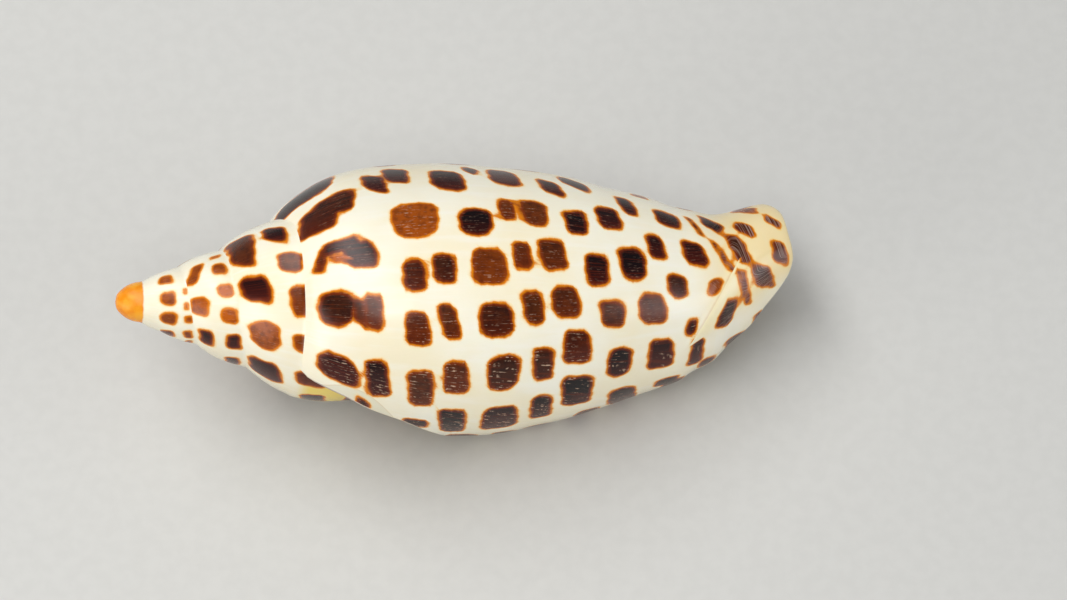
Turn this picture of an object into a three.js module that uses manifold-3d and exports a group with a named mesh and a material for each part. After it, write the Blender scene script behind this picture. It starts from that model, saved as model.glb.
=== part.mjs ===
// Junonia shell: one solid that coils to the right round a long axis.
// Millimetres, +Z up. The shell lies on its aperture side, apex towards -X,
// siphonal end towards +X, outer lip on the -Y side.
//
// The surface is worked out in the shell's own frame: "along" runs down the coiling axis from
// the apex, "angle" runs round the axis in degrees, 0 at the middle of the back, 90 at the
// outer lip's side, and it grows as the shell grew. One earlier turn is 360 degrees less.

import * as THREE from 'three';
import Module from 'manifold-3d';

// Driving dimensions of the coil.
const SHELL_LENGTH = 110;
const LIP_ANGLE = 45; // where the outer lip meets the whorl before it
const TURN = 360;
const FIRST_SUTURE_ANGLE = -1755; // where the suture leaves the apex
const WHORL_GROWTH = 1.385; // each whorl is this much longer than the one before
const SUTURE_ORIGIN = -7.66;
const SUTURE_REACH = 26.56; // from that origin to the suture one turn before the back's middle
const WHORL_BULGE = 0.085; // swell of a spire whorl as a share of its width
const WALL = 1.7;
const LIP_WALL = 1.25;
const RIM_WALL = 1.1;
const RIM_THINS = 9; // stretch over which the wall thins to its rim at the siphonal end
const ROOF_AT_SUTURE = 2.6; // solid shell between the suture and the hollow
const LEAST_ROOM = 0.3; // keeps the hollow open, in square millimetres, where its corner is tight
const HOLLOW_ROUNDING = 0.72; // share of the way in where the hollow's end starts to round off
const FOLD_COUNT = 4;
const FOLD_HEIGHT = 0.9;
const FOLD_WIDTH = 1.05;
const FOLD_SPACING = 4.7;
const FOLD_START = 68.5; // along the axis, where the folds meet the columella's edge
const FOLD_PITCH = 30; // how far a fold runs down the columella in one turn
const LEDGE_HEIGHT = 0.45; // scar near the siphonal end, where the last layer overlaps
const LEDGE_ALONG = 97.5;
const LEDGE_SLANT = 0.16;
const LEDGE_FADE = 6;
const FOLD_THINNING = 0.08; // each fold is this share lower than the one before
const LEDGE_STEEPNESS = 0.8; // millimetres over which the ledge rises

// Stretches, as pairs of low and high, over which one form gives way to the next.
const DOME_TO_WHORLS = [4, 9]; // along the axis, from the smooth apex to stepped whorls
const BULGE_GROWS = [1, 16];
const SPIRE_TO_LAST_WHORL = [-315, -225]; // angles
const CENTRE_TO_COLUMELLA = [110, 235]; // angles turned back, from the whorl's middle to the columella's
const FOLDS_BEGIN = [195, 235]; // angles turned back
const FOLDS_DEEP_END = [50, 60]; // along the axis
const LEDGE_BEGINS = [-22, -8]; // angles
const LEDGE_ENDS = [24, 42]; // angles
const SUTURE_BLEND = 1.5; // millimetres over which the last whorl settles to its outline

// How the shell lies: turned until it touches the ground at three places.
const REST_TILT = 11;
const REST_ROLL = 31.5;
const FLAT_DEPTH = 0.15; // worn off where it touches, which leaves small flat spots

// Faces: columns in a turn, rows on a spire whorl, and rows down the last whorl.
const COLUMNS = 48;
const SPIRE_ROWS = 4;
const SHOULDER_ROWS = 12;
const FOLD_ROWS = 16;
const END_ROWS = 7;
const LIP_COLUMNS = 2;
const FOLD_ZONE_START = 0.45;
const FOLD_ZONE_END = 0.84;

// Outlines: pairs of place and value. Places are along the axis unless the name says angle.
const SPIRE_RADIUS = [[0, 0], [0.25, 1.1], [1, 1.98], [2, 2.7], [3.1, 3.12], [4.4, 3.35], [5, 3.7],
  [7.25, 4.7], [9.9, 5.55], [12.9, 6.7], [16.5, 8.15], [18.9, 9.3], [20.9, 10.35], [25.3, 13.1],
  [28.8, 15.4]];
const SUTURE_SHIFT_BY_ANGLE = [[-270, 0], [-180, -0.3], [-90, -0.95], [-50, 0.8], [0, -0.1], [45, -1.86]];
const OUTLINE_LIP_SIDE = [[28.8, 15.4], [30.3, 16.6], [32.9, 18.2], [36.7, 19.8], [41.7, 20.9],
  [46.9, 21.5], [52.5, 21.8], [57.4, 21.7], [61.8, 21.3], [67.6, 20.1], [72.5, 19], [80.3, 16.7],
  [87.5, 14.8], [91.9, 13.8], [94, 12.8], [97.5, 12.1], [100, 10.8], [103.4, 10], [106, 8.9], [110, 7]];
const OUTLINE_BACK = [[29, 15], [30.3, 17], [32.9, 18.8], [36.7, 20.4], [41.7, 21.5], [46.9, 22],
  [52.5, 22.2], [61.8, 21.7], [72.5, 19.9], [80.3, 17.8], [86.7, 15.7], [90.8, 14.3], [94, 13.3],
  [97.5, 12], [100, 11], [103.4, 9.9], [106, 8.7], [110, 6.8]];
const OUTLINE_FAR_SIDE = [[25.3, 13.1], [26.2, 14.3], [27.8, 15.9], [30.3, 17.8], [32.9, 19.4],
  [36.7, 20.9], [41.7, 21.9], [46.9, 22.3], [52.5, 22.5], [61.8, 21.9], [72.5, 20.6], [80.3, 18.6],
  [86.7, 16.7], [90.8, 14.9], [94, 13.6], [97.5, 11.9], [100, 11], [103.4, 10.3], [105.6, 9.4], [110, 7.8]];
const OUTLINE_FRONT = [[23.3, 11.8], [25, 13.9], [27.5, 15.9], [30, 17.3], [35, 19.2], [40, 20.1],
  [46, 20.4], [52, 20], [60, 18.5], [70, 15.4], [80, 11.7], [88, 9.2], [96, 7.2], [103, 5.6], [110, 3.6]];
const OUTLINE_COLUMELLA = [[20.9, 10.35], [22.5, 11.6], [25, 13.4], [26.9, 14.4], [28.8, 15.3],
  [34, 16], [38, 15.8], [42, 15], [46, 13.8], [52, 11.6], [58, 9.6], [64, 8], [70, 7], [76, 6.3],
  [84, 5.5], [92, 4.6], [100, 3.5], [106, 2.3], [110, 1.6]];
const CANAL_SIDEWAYS = [[80, 0], [90, -0.7], [94, -1.4], [97.5, -2.4], [100, -3.6], [103.4, -5.2],
  [106, -6.8], [110, -8.2]];
const COLUMELLA_SIDEWAYS = [[66, 0], [76, -1.4], [88, -4.4], [96, -7.6], [100, -9.4], [106, -12], [110, -12.8]];
const COLUMELLA_FORWARD = [[66, 0], [76, -1], [88, -2.6], [96, -3.6], [102, -3.8], [110, -3]];
const LIP_LINE = [[28.8, 45], [34.4, 49], [37.6, 54], [43.2, 62], [46.9, 70], [50.5, 79], [54.5, 89],
  [60, 98], [66, 104], [74, 109], [82, 109], [89, 104], [95, 97]];
const RIM_BY_ANGLE = [[-315, 103], [-270, 104], [-180, 105.5], [-135, 106.3], [-90, 107.3], [-60, 108.6],
  [-30, 109.2], [10, 110], [25, 109.7], [45, 108.1], [60, 105], [75, 101.3], [90, 97.6], [97, 95]];
const HOLLOW_END_ANGLE = [[28.8, -105], [70, -105], [84, -98], [97, -88], [110, -88]];

/** Smooth curve through pairs, which never overshoots them; flat past both ends. */
function curve(pairs) {
  const last = pairs.length - 1;
  const slopes = pairs.slice(1).map(([x, y], i) => (y - pairs[i][1]) / (x - pairs[i][0]));
  const tangents = pairs.map((_, i) => {
    if (i === 0) return slopes[0];
    if (i === last) return slopes[last - 1];
    const product = slopes[i - 1] * slopes[i];
    return product <= 0 ? 0 : (2 * product) / (slopes[i - 1] + slopes[i]);
  });
  return (x) => {
    if (x <= pairs[0][0]) return pairs[0][1];
    if (x >= pairs[last][0]) return pairs[last][1];
    const i = pairs.findIndex(([place]) => place > x) - 1;
    const step = pairs[i + 1][0] - pairs[i][0];
    const t = (x - pairs[i][0]) / step;
    const rise = t * t * (3 - 2 * t);
    const start = t * (1 - t) * (1 - t) * tangents[i] * step;
    const end = -t * t * (1 - t) * tangents[i + 1] * step;
    return pairs[i][1] + (pairs[i + 1][1] - pairs[i][1]) * rise + start + end;
  };
}

/** 0 below low, 1 above high, and a smooth step between. */
function ramp(x, low, high) {
  const t = Math.min(1, Math.max(0, (x - low) / (high - low)));
  return t * t * (3 - 2 * t);
}

const mix = (a, b, t) => a + (b - a) * t;
const radians = (degrees) => (degrees * Math.PI) / 180;

const spireRadius = curve(SPIRE_RADIUS);
const sutureShift = curve(SUTURE_SHIFT_BY_ANGLE);
const columella = curve(OUTLINE_COLUMELLA);
const canalSideways = curve(CANAL_SIDEWAYS);
const columellaSideways = curve(COLUMELLA_SIDEWAYS);
const columellaForward = curve(COLUMELLA_FORWARD);
const lipLine = curve(LIP_LINE);
const rim = curve(RIM_BY_ANGLE);
const hollowEnd = curve(HOLLOW_END_ANGLE);
const lastWhorl = [
  { angle: -270, outline: columella, start: OUTLINE_COLUMELLA[0][0] },
  { angle: -180, outline: curve(OUTLINE_FRONT), start: OUTLINE_FRONT[0][0] },
  { angle: -90, outline: curve(OUTLINE_FAR_SIDE), start: OUTLINE_FAR_SIDE[0][0] },
  { angle: 0, outline: curve(OUTLINE_BACK), start: OUTLINE_BACK[0][0] },
  { angle: 90, outline: curve(OUTLINE_LIP_SIDE), start: OUTLINE_LIP_SIDE[0][0] },
];

/** Where the suture lies along the axis: a geometric spiral, shifted a little on the last turn. */
function sutureAlong(angle) {
  if (angle <= FIRST_SUTURE_ANGLE) return 0;
  const spiral = (a) => SUTURE_ORIGIN + SUTURE_REACH * WHORL_GROWTH ** ((a + TURN) / TURN);
  const start = spiral(FIRST_SUTURE_ANGLE);
  const toApex = start * (1 - ramp(angle, FIRST_SUTURE_ANGLE, FIRST_SUTURE_ANGLE + TURN));
  return Math.max(0, spiral(angle) - toApex + (angle > -270 ? sutureShift(angle) : 0));
}

const sutureRadius = (angle) => spireRadius(sutureAlong(angle));

/** Radius of a whorl of the spire, and past its lower suture of what the next whorl hides. */
function spireWhorl(along, angle) {
  const top = sutureAlong(angle);
  const next = Math.min(angle + TURN, LIP_ANGLE);
  const bottom = sutureAlong(next);
  const bottomRadius = sutureRadius(next);
  if (along > bottom) return (bottomRadius * columella(along)) / columella(bottom);
  const share = bottom > top ? (along - top) / (bottom - top) : 1;
  const dome = spireRadius(along);
  const cone = mix(sutureRadius(angle), bottomRadius, share);
  const straight = mix(dome, cone, ramp(along, ...DOME_TO_WHORLS));
  const swell = WHORL_BULGE * (bottom - top) * Math.sin(Math.PI * share ** 0.8);
  return straight + swell * ramp(along, ...BULGE_GROWS);
}

/** Radius of the last whorl: outlines at each quarter turn, joined smoothly round the axis. */
function bodyWhorl(along, angle) {
  const top = sutureAlong(angle);
  const share = Math.max(0, (along - top) / (SHELL_LENGTH - top));
  const around = lastWhorl.map(({ angle: place, outline, start }) => [
    place, outline(start + share * (SHELL_LENGTH - start))]);
  const radius = curve(around);
  const offset = sutureRadius(angle) - radius0(angle);
  return radius(angle) + offset * Math.exp(-(along - top) / SUTURE_BLEND);
}

/** Radius that the quarter outlines give right at the suture. */
function radius0(angle) {
  return curve(lastWhorl.map(({ angle: place, outline, start }) => [place, outline(start)]))(angle);
}

/** Raised spiral folds on the columella. */
function folds(along, angle) {
  const drop = (FOLD_PITCH * (angle + 200)) / TURN;
  let height = 0;
  for (let i = 0; i < FOLD_COUNT; i += 1) {
    const distance = along - (FOLD_START + i * FOLD_SPACING + drop);
    height += FOLD_HEIGHT * (1 - FOLD_THINNING * i) * Math.exp(-((distance / FOLD_WIDTH) ** 2));
  }
  return height * ramp(-angle, ...FOLDS_BEGIN) * ramp(along, ...FOLDS_DEEP_END);
}

/** The overlapping layer near the siphonal end, steep on its apex side. */
function ledge(along, angle) {
  const past = along - (LEDGE_ALONG - LEDGE_SLANT * angle);
  const width = ramp(angle, ...LEDGE_BEGINS) * (1 - ramp(angle, ...LEDGE_ENDS));
  const step = past < 0 ? ramp(past, -LEDGE_STEEPNESS, 0) : Math.exp(-past / LEDGE_FADE);
  return LEDGE_HEIGHT * width * step;
}

/** Radius of the shell's outside, and of the columella where the coil runs on inside. */
function outsideRadius(along, angle) {
  const early = ramp(angle, ...SPIRE_TO_LAST_WHORL);
  let radius = 0;
  if (early < 1) radius += (1 - early) * spireWhorl(along, angle);
  if (early > 0) radius += early * bodyWhorl(along, angle);
  if (angle > -60) radius += ledge(along, angle);
  if (angle < -195) radius += folds(along, angle);
  return radius;
}

/** A point at a radius, round the last whorl's middle or, further in, round the columella's. */
function place(along, angle, radius) {
  const inner = ramp(-angle, ...CENTRE_TO_COLUMELLA);
  const side = mix(canalSideways(along), columellaSideways(along), inner);
  const front = mix(0, columellaForward(along), inner);
  const turn = radians(angle);
  return new THREE.Vector3(along, -(side + radius * Math.sin(turn)), front + radius * Math.cos(turn));
}

const outside = (along, angle) => place(along, angle, outsideRadius(along, angle));

// Row places down the last whorl, 0 at the shoulder and 1 at the siphonal rim.
const rowShares = [];
for (let i = 0; i < SHOULDER_ROWS; i += 1) rowShares.push((FOLD_ZONE_START * i) / SHOULDER_ROWS);
for (let i = 0; i < FOLD_ROWS; i += 1) {
  rowShares.push(mix(FOLD_ZONE_START, FOLD_ZONE_END, i / FOLD_ROWS));
}
for (let i = 0; i <= END_ROWS; i += 1) {
  rowShares.push(mix(FOLD_ZONE_END, 1, 1 - (1 - i / END_ROWS) ** 1.6));
}
const LAST_ROWS = rowShares.length - 1;
const HALF = COLUMNS / 2;
const CORNER_ALONG = sutureAlong(LIP_ANGLE);
const LIP_END_ALONG = rim(lipLine(SHELL_LENGTH));

/** Where the outer lip stands on a row, as an angle. */
const lipAngle = (share) => lipLine(mix(CORNER_ALONG, LIP_END_ALONG, share));
/** Where the hollow ends on a row, as an angle. */
const endAngle = (share) => hollowEnd(mix(CORNER_ALONG, SHELL_LENGTH, share));

/** Angle of an outside column on a row: even at the shoulder, paired with the inside at the rim. */
function outsideAngle(column, share) {
  const turned = (TURN * column) / COLUMNS;
  const even = LIP_ANGLE - turned + (lipAngle(share) - LIP_ANGLE) * (1 - ramp(turned, 0, 170));
  const end = endAngle(share);
  const paired = column <= HALF
    ? mix(lipAngle(share), end, column / HALF)
    : mix(end, LIP_ANGLE - TURN, column / HALF - 1);
  return mix(even, paired, ramp(share, 0.5, 0.95));
}

/** Point of the outside on a column and row of the last whorl. */
function outsidePoint(column, share) {
  const angle = outsideAngle(column, share);
  const turned = (TURN * column) / COLUMNS;
  const startAngle = LIP_ANGLE - turned;
  const band = (sutureAlong(LIP_ANGLE) - sutureAlong(LIP_ANGLE - TURN)) * (turned / TURN);
  const start = sutureAlong(startAngle) + band;
  return outside(mix(start, rim(angle), share), angle);
}

/** Where the hollow's corner runs under the suture, from the lip inwards. */
function hollowCorner(angle) {
  const along = sutureAlong(angle) + ROOF_AT_SUTURE * ramp(LIP_ANGLE - angle, 0, 40);
  return place(along, angle - TURN, spireWhorl(along, angle - TURN));
}

/** Point inside on a column and row: round the lip's edge, in under the wall, back on the columella. */
function insidePoint(column, row) {
  const share = rowShares[row];
  const end = endAngle(share);
  const inwards = column <= HALF ? column / HALF : 2 - column / HALF;
  if (row === 0) return hollowCorner(mix(LIP_ANGLE, endAngle(0), inwards));
  const lip = lipAngle(share);
  if (column >= HALF) {
    return innerFloor(mix(LIP_ANGLE, end, inwards), share, rim(outsideAngle(column, 1)));
  }
  if (column < LIP_COLUMNS) {
    const round = (Math.PI * column) / LIP_COLUMNS;
    const along = mix(CORNER_ALONG, rim(lip), share);
    const radius = outsideRadius(along, lip);
    const inset = (LIP_WALL / 2) * (1 - Math.cos(round));
    const forward = ((LIP_WALL / 2) * Math.sin(round) * 180) / Math.PI / radius;
    return place(along, lip + forward, radius - inset);
  }
  const deep = (column - LIP_COLUMNS) / (HALF - LIP_COLUMNS);
  return innerWall(mix(lip, end, deep), share, deep);
}

/** Start of the hollow along the axis at an angle. */
const hollowStart = (angle) =>
  sutureAlong(Math.min(angle, LIP_ANGLE)) + ROOF_AT_SUTURE * ramp(LIP_ANGLE - angle, 0, 40);

/** Point on the columella's side of the hollow, on a row that ends at the given place. */
function innerFloor(angle, share, end) {
  const along = mix(hollowStart(angle), end, share);
  const inner = angle - TURN;
  return place(along, inner, spireWhorl(along, inner) + folds(along, inner));
}

/** Point on the inner face of the outer wall; the hollow closes where deep reaches 1. */
function innerWall(angle, share, deep) {
  const along = mix(hollowStart(angle), rim(angle), share);
  const full = mix(LIP_WALL, WALL, ramp(deep, 0, 0.25));
  const wall = mix(full, RIM_WALL, ramp(along, rim(angle) - RIM_THINS, rim(angle)));
  const radius = outsideRadius(along, angle) - wall;
  const room = radius - spireWhorl(along, Math.min(angle, LIP_ANGLE) - TURN);
  const kept = (room + Math.sqrt(room * room + LEAST_ROOM)) / 2;
  const closing = Math.max(0, (deep - HOLLOW_ROUNDING) / (1 - HOLLOW_ROUNDING));
  const floor = innerFloor(Math.min(angle, LIP_ANGLE), share, rim(angle));
  return floor.lerp(place(along, angle, radius + kept - room), Math.sqrt(1 - closing * closing));
}

/** Rounds the rim: outside and inside draw together over the last stretch of each column. */
function roundRim(column, row) {
  const share = rowShares[row];
  const thick = mix(0.02, 0.05, ramp(column / COLUMNS, 0.5, 0.7) * (1 - ramp(column / COLUMNS, 0.85, 1)));
  const past = Math.max(0, (share - (1 - thick)) / thick);
  return Math.sqrt(Math.max(0, 1 - past * past));
}

/** Builds the closed surface as one list of points and one of triangles. */
function buildShell() {
  const points = [];
  const triangles = [];
  const add = (point) => points.push(point) - 1;
  const face = (a, b, c) => {
    if (a !== b && b !== c && c !== a) triangles.push(a, c, b);
  };
  const quad = (a, b, c, d) => {
    face(a, b, c);
    face(a, c, d);
  };
  const apexPoint = add(new THREE.Vector3(0, 0, 0));

  // The spire: one strip, whose lower edge is the upper edge of the strip one turn later.
  const spireColumns = Math.round((LIP_ANGLE - TURN - (FIRST_SUTURE_ANGLE - TURN)) / TURN * COLUMNS);
  const spire = [];
  for (let i = 0; i <= spireColumns; i += 1) {
    const angle = FIRST_SUTURE_ANGLE - TURN + (TURN * i) / COLUMNS;
    const top = sutureAlong(angle);
    const bottom = sutureAlong(angle + TURN);
    const first = i < COLUMNS ? apexPoint : spire[i - COLUMNS][SPIRE_ROWS];
    const strip = [first];
    for (let row = 1; row <= SPIRE_ROWS; row += 1) {
      if (i === 0) strip.push(apexPoint);
      else strip.push(add(outside(mix(top, bottom, row / SPIRE_ROWS), angle)));
    }
    spire.push(strip);
  }

  // The last whorl's outside, from one turn before the lip (column COLUMNS) to the lip (column 0).
  const outer = Array.from({ length: COLUMNS + 1 }, () => []);
  const outsides = [];
  const insides = [];
  for (let column = 0; column <= COLUMNS; column += 1) {
    outsides.push(rowShares.map((share) => outsidePoint(column, share)));
    insides.push(rowShares.map((_, row) => insidePoint(column, row)));
  }
  const corner = spire[spireColumns][SPIRE_ROWS];
  for (let column = COLUMNS; column >= 0; column -= 1) {
    const turned = (TURN * column) / COLUMNS;
    const angle = LIP_ANGLE - turned;
    const band = (CORNER_ALONG - sutureAlong(LIP_ANGLE - TURN)) * (turned / TURN);
    for (let row = 0; row < SPIRE_ROWS; row += 1) {
      if (column === COLUMNS) outer[column].push(spire[spireColumns][row]);
      else if (column === 0) outer[column].push(corner);
      else if (row === 0) outer[column].push(spire[spireColumns - column][SPIRE_ROWS]);
      else outer[column].push(add(outside(sutureAlong(angle) + (band * row) / SPIRE_ROWS, angle)));
    }
    for (let row = 0; row <= LAST_ROWS; row += 1) {
      if (row === 0 && (column === 0 || column === COLUMNS)) {
        outer[column].push(corner);
        continue;
      }
      const out = outsides[column][row];
      const middle = out.clone().lerp(insides[column][row], 0.5);
      outer[column].push(add(column === COLUMNS ? out : middle.lerp(out, roundRim(column, row))));
    }
  }

  // The inside: row 0 is folded along the hollow's corner, and the last row is the rim.
  const inner = [];
  for (let column = 0; column <= COLUMNS; column += 1) {
    const strip = [];
    for (let row = 0; row <= LAST_ROWS; row += 1) {
      if (column === 0 || column === COLUMNS) {
        strip.push(outer[column][SPIRE_ROWS + row]);
      } else if (row === 0) {
        strip.push(column > HALF ? inner[COLUMNS - column][0] : add(insides[column][0]));
      } else if (row === LAST_ROWS) {
        strip.push(outer[column][SPIRE_ROWS + row]);
      } else {
        const point = insides[column][row];
        const middle = point.clone().lerp(outsides[column][row], 0.5);
        strip.push(add(middle.lerp(point, roundRim(column, row))));
      }
    }
    inner.push(strip);
  }

  for (let i = 0; i < spireColumns; i += 1) {
    for (let row = 0; row < SPIRE_ROWS; row += 1) {
      quad(spire[i][row], spire[i][row + 1], spire[i + 1][row + 1], spire[i + 1][row]);
    }
  }
  for (let column = 0; column < COLUMNS; column += 1) {
    for (let row = 0; row < SPIRE_ROWS + LAST_ROWS; row += 1) {
      quad(outer[column + 1][row], outer[column + 1][row + 1], outer[column][row + 1], outer[column][row]);
    }
    for (let row = 0; row < LAST_ROWS; row += 1) {
      quad(inner[column][row], inner[column][row + 1], inner[column + 1][row + 1], inner[column + 1][row]);
    }
  }
  return { points, triangles };
}

/** Turns the shell as it lies, and sets its lowest point just under the ground. */
function layDown(points) {
  const turn = new THREE.Matrix4().makeRotationX(radians(REST_ROLL));
  turn.multiply(new THREE.Matrix4().makeRotationY(radians(REST_TILT)));
  points.forEach((point) => point.applyMatrix4(turn));
  const box = new THREE.Box3().setFromPoints(points);
  const middle = box.getCenter(new THREE.Vector3());
  points.forEach((point) => point.sub(new THREE.Vector3(middle.x, middle.y, box.min.z + FLAT_DEPTH)));
}

const wasm = await Module();
wasm.setup();

/** A solid from points and triangles. */
function solid(points, triangles) {
  const vertProperties = new Float32Array(points.flatMap((point) => [point.x, point.y, point.z]));
  return new wasm.Manifold(new wasm.Mesh({ numProp: 3, vertProperties, triVerts: new Uint32Array(triangles) }));
}

/** The ground as a block, for wearing the flat spots. */
function groundBlock() {
  const size = 2 * SHELL_LENGTH;
  const corners = [];
  for (const z of [-size, 0]) {
    for (const y of [-size / 2, size / 2]) {
      for (const x of [-size / 2, size / 2]) corners.push(new THREE.Vector3(x, y, z));
    }
  }
  const faces = [0, 2, 1, 1, 2, 3, 4, 5, 6, 5, 7, 6, 0, 1, 4, 1, 5, 4, 2, 6, 3, 3, 6, 7, 0, 4, 2, 2, 4, 6, 1, 3, 5,
    3, 7, 5];
  return solid(corners, faces);
}

const { points, triangles } = buildShell();
layDown(points);
const worn = solid(points, triangles).subtract(groundBlock()).getMesh();

const geometry = new THREE.BufferGeometry();
geometry.setAttribute('position', new THREE.BufferAttribute(new Float32Array(worn.vertProperties), 3));
geometry.setIndex(new THREE.BufferAttribute(new Uint32Array(worn.triVerts), 1));
geometry.computeVertexNormals();

const shellMaterial = new THREE.MeshStandardMaterial({ color: 0xf3ead2, roughness: 0.28, metalness: 0 });
const shell = new THREE.Mesh(geometry, shellMaterial);
shell.name = 'shell';

const group = new THREE.Group();
group.add(shell);

export default group;
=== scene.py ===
"""A junonia shell on a pale floor: its fine surface, its markings, its polish, a camera and soft lights.

The shell's surface is a function of two parameters. "Along" runs down the coiling axis from the
apex, in millimetres. "Angle" runs round the axis in degrees and grows as the shell grew: 0 is the
middle of the back on the last whorl, 45 to 109 is its outer lip, and each earlier whorl is 360 less.
"""

import bpy
import numpy as np
from mathutils import Matrix, Vector


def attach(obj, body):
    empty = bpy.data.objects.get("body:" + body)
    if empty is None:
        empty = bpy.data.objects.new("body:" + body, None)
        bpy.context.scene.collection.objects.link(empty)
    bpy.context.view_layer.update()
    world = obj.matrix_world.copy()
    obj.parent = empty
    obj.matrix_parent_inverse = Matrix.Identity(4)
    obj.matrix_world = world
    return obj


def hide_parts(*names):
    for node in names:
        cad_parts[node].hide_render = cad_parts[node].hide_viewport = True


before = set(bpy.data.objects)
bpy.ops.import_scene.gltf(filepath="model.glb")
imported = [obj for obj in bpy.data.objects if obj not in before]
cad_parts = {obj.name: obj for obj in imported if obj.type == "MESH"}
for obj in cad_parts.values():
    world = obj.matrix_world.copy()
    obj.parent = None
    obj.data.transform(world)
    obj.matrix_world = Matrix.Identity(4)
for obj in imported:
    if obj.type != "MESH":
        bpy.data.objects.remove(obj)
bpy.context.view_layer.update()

bl_info = {
    "name": "Junonia Shell",
    "version": (1, 0, 0),
    "blender": (4, 5, 0),
    "location": "View3D > Sidebar > Shell",
    "description": "A polished junonia shell with spiral rows of brown spots",
    "category": "Add Mesh",
}

MM = 0.001

# The coil, in millimetres and degrees, as in the solid that this surface stands for.
SHELL_LENGTH = 110.0
LIP_ANGLE = 45.0
TURN = 360.0
FIRST_SUTURE_ANGLE = -1755.0
WHORL_GROWTH = 1.385
SUTURE_ORIGIN = -7.66
SUTURE_REACH = 26.56
WHORL_BULGE = 0.085
BULGE_SKEW = 0.8
WALL = 1.7
LIP_WALL = 1.25
RIM_WALL = 1.1
RIM_THINS = 9.0
ROOF_AT_SUTURE = 2.6
LEAST_ROOM = 0.3
HOLLOW_ROUNDING = 0.72
FOLD_COUNT = 4
FOLD_HEIGHT = 0.9
FOLD_WIDTH = 1.05
FOLD_SPACING = 4.7
FOLD_START = 68.5
FOLD_PITCH = 30.0
FOLD_THINNING = 0.08
FOLD_ANGLE = -200.0
LEDGE_HEIGHT = 0.45
LEDGE_ALONG = 97.5
LEDGE_SLANT = 0.16
LEDGE_FADE = 6.0
LEDGE_STEEPNESS = 0.8
REST_TILT = 11.0
REST_ROLL = 31.5
FLAT_DEPTH = 0.15

# Stretches over which one form gives way to the next.
DOME_TO_WHORLS = (4, 9)
BULGE_GROWS = (1, 16)
SPIRE_TO_LAST_WHORL = (-315, -225)
CENTRE_TO_COLUMELLA = (110, 235)
FOLDS_BEGIN = (195, 235)
FOLDS_DEEP_END = (50, 60)
LEDGE_BEGINS = (-22, -8)
LEDGE_ENDS = (24, 42)
SUTURE_BLEND = 1.5
ROOF_DROPS = (0, 40)
LIP_THICKENS = (0, 0.25)
LIP_LEAN_FADES = (0, 170)
ROWS_PAIR_UP = (0.5, 0.95)
THICKER_ROUNDING = ((0.5, 0.7), (0.85, 1))

# The grid: columns in a turn, rows on a spire whorl, and rows down the last whorl.
COLUMNS = 288
HALF = COLUMNS // 2
SPIRE_ROWS = 16
SHOULDER_ROWS = 36
FOLD_ROWS = 48
END_ROWS = 20
END_CROWDING = 1.6
RIM_ROUNDING = (0.02, 0.05)
LIP_COLUMNS = 8
FOLD_ZONE_START = 0.45
FOLD_ZONE_END = 0.84

# Outlines: pairs of place and value. Places are along the axis unless the name says angle.
SPIRE_RADIUS = [(0, 0), (0.25, 1.1), (1, 1.98), (2, 2.7), (3.1, 3.12), (4.4, 3.35), (5, 3.7),
    (7.25, 4.7), (9.9, 5.55), (12.9, 6.7), (16.5, 8.15), (18.9, 9.3), (20.9, 10.35), (25.3, 13.1),
    (28.8, 15.4)]
SUTURE_SHIFT_BY_ANGLE = [(-270, 0), (-180, -0.3), (-90, -0.95), (-50, 0.8), (0, -0.1), (45, -1.86)]
OUTLINE_LIP_SIDE = [(28.8, 15.4), (30.3, 16.6), (32.9, 18.2), (36.7, 19.8), (41.7, 20.9),
    (46.9, 21.5), (52.5, 21.8), (57.4, 21.7), (61.8, 21.3), (67.6, 20.1), (72.5, 19), (80.3, 16.7),
    (87.5, 14.8), (91.9, 13.8), (94, 12.8), (97.5, 12.1), (100, 10.8), (103.4, 10), (106, 8.9), (110, 7)]
OUTLINE_BACK = [(29, 15), (30.3, 17), (32.9, 18.8), (36.7, 20.4), (41.7, 21.5), (46.9, 22),
    (52.5, 22.2), (61.8, 21.7), (72.5, 19.9), (80.3, 17.8), (86.7, 15.7), (90.8, 14.3), (94, 13.3),
    (97.5, 12), (100, 11), (103.4, 9.9), (106, 8.7), (110, 6.8)]
OUTLINE_FAR_SIDE = [(25.3, 13.1), (26.2, 14.3), (27.8, 15.9), (30.3, 17.8), (32.9, 19.4),
    (36.7, 20.9), (41.7, 21.9), (46.9, 22.3), (52.5, 22.5), (61.8, 21.9), (72.5, 20.6), (80.3, 18.6),
    (86.7, 16.7), (90.8, 14.9), (94, 13.6), (97.5, 11.9), (100, 11), (103.4, 10.3), (105.6, 9.4), (110, 7.8)]
OUTLINE_FRONT = [(23.3, 11.8), (25, 13.9), (27.5, 15.9), (30, 17.3), (35, 19.2), (40, 20.1),
    (46, 20.4), (52, 20), (60, 18.5), (70, 15.4), (80, 11.7), (88, 9.2), (96, 7.2), (103, 5.6), (110, 3.6)]
OUTLINE_COLUMELLA = [(20.9, 10.35), (22.5, 11.6), (25, 13.4), (26.9, 14.4), (28.8, 15.3),
    (34, 16), (38, 15.8), (42, 15), (46, 13.8), (52, 11.6), (58, 9.6), (64, 8), (70, 7), (76, 6.3),
    (84, 5.5), (92, 4.6), (100, 3.5), (106, 2.3), (110, 1.6)]
CANAL_SIDEWAYS = [(80, 0), (90, -0.7), (94, -1.4), (97.5, -2.4), (100, -3.6), (103.4, -5.2),
    (106, -6.8), (110, -8.2)]
COLUMELLA_SIDEWAYS = [(66, 0), (76, -1.4), (88, -4.4), (96, -7.6), (100, -9.4), (106, -12), (110, -12.8)]
COLUMELLA_FORWARD = [(66, 0), (76, -1), (88, -2.6), (96, -3.6), (102, -3.8), (110, -3)]
LIP_LINE = [(28.8, 45), (34.4, 49), (37.6, 54), (43.2, 62), (46.9, 70), (50.5, 79), (54.5, 89),
    (60, 98), (66, 104), (74, 109), (82, 109), (89, 104), (95, 97)]
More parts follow.
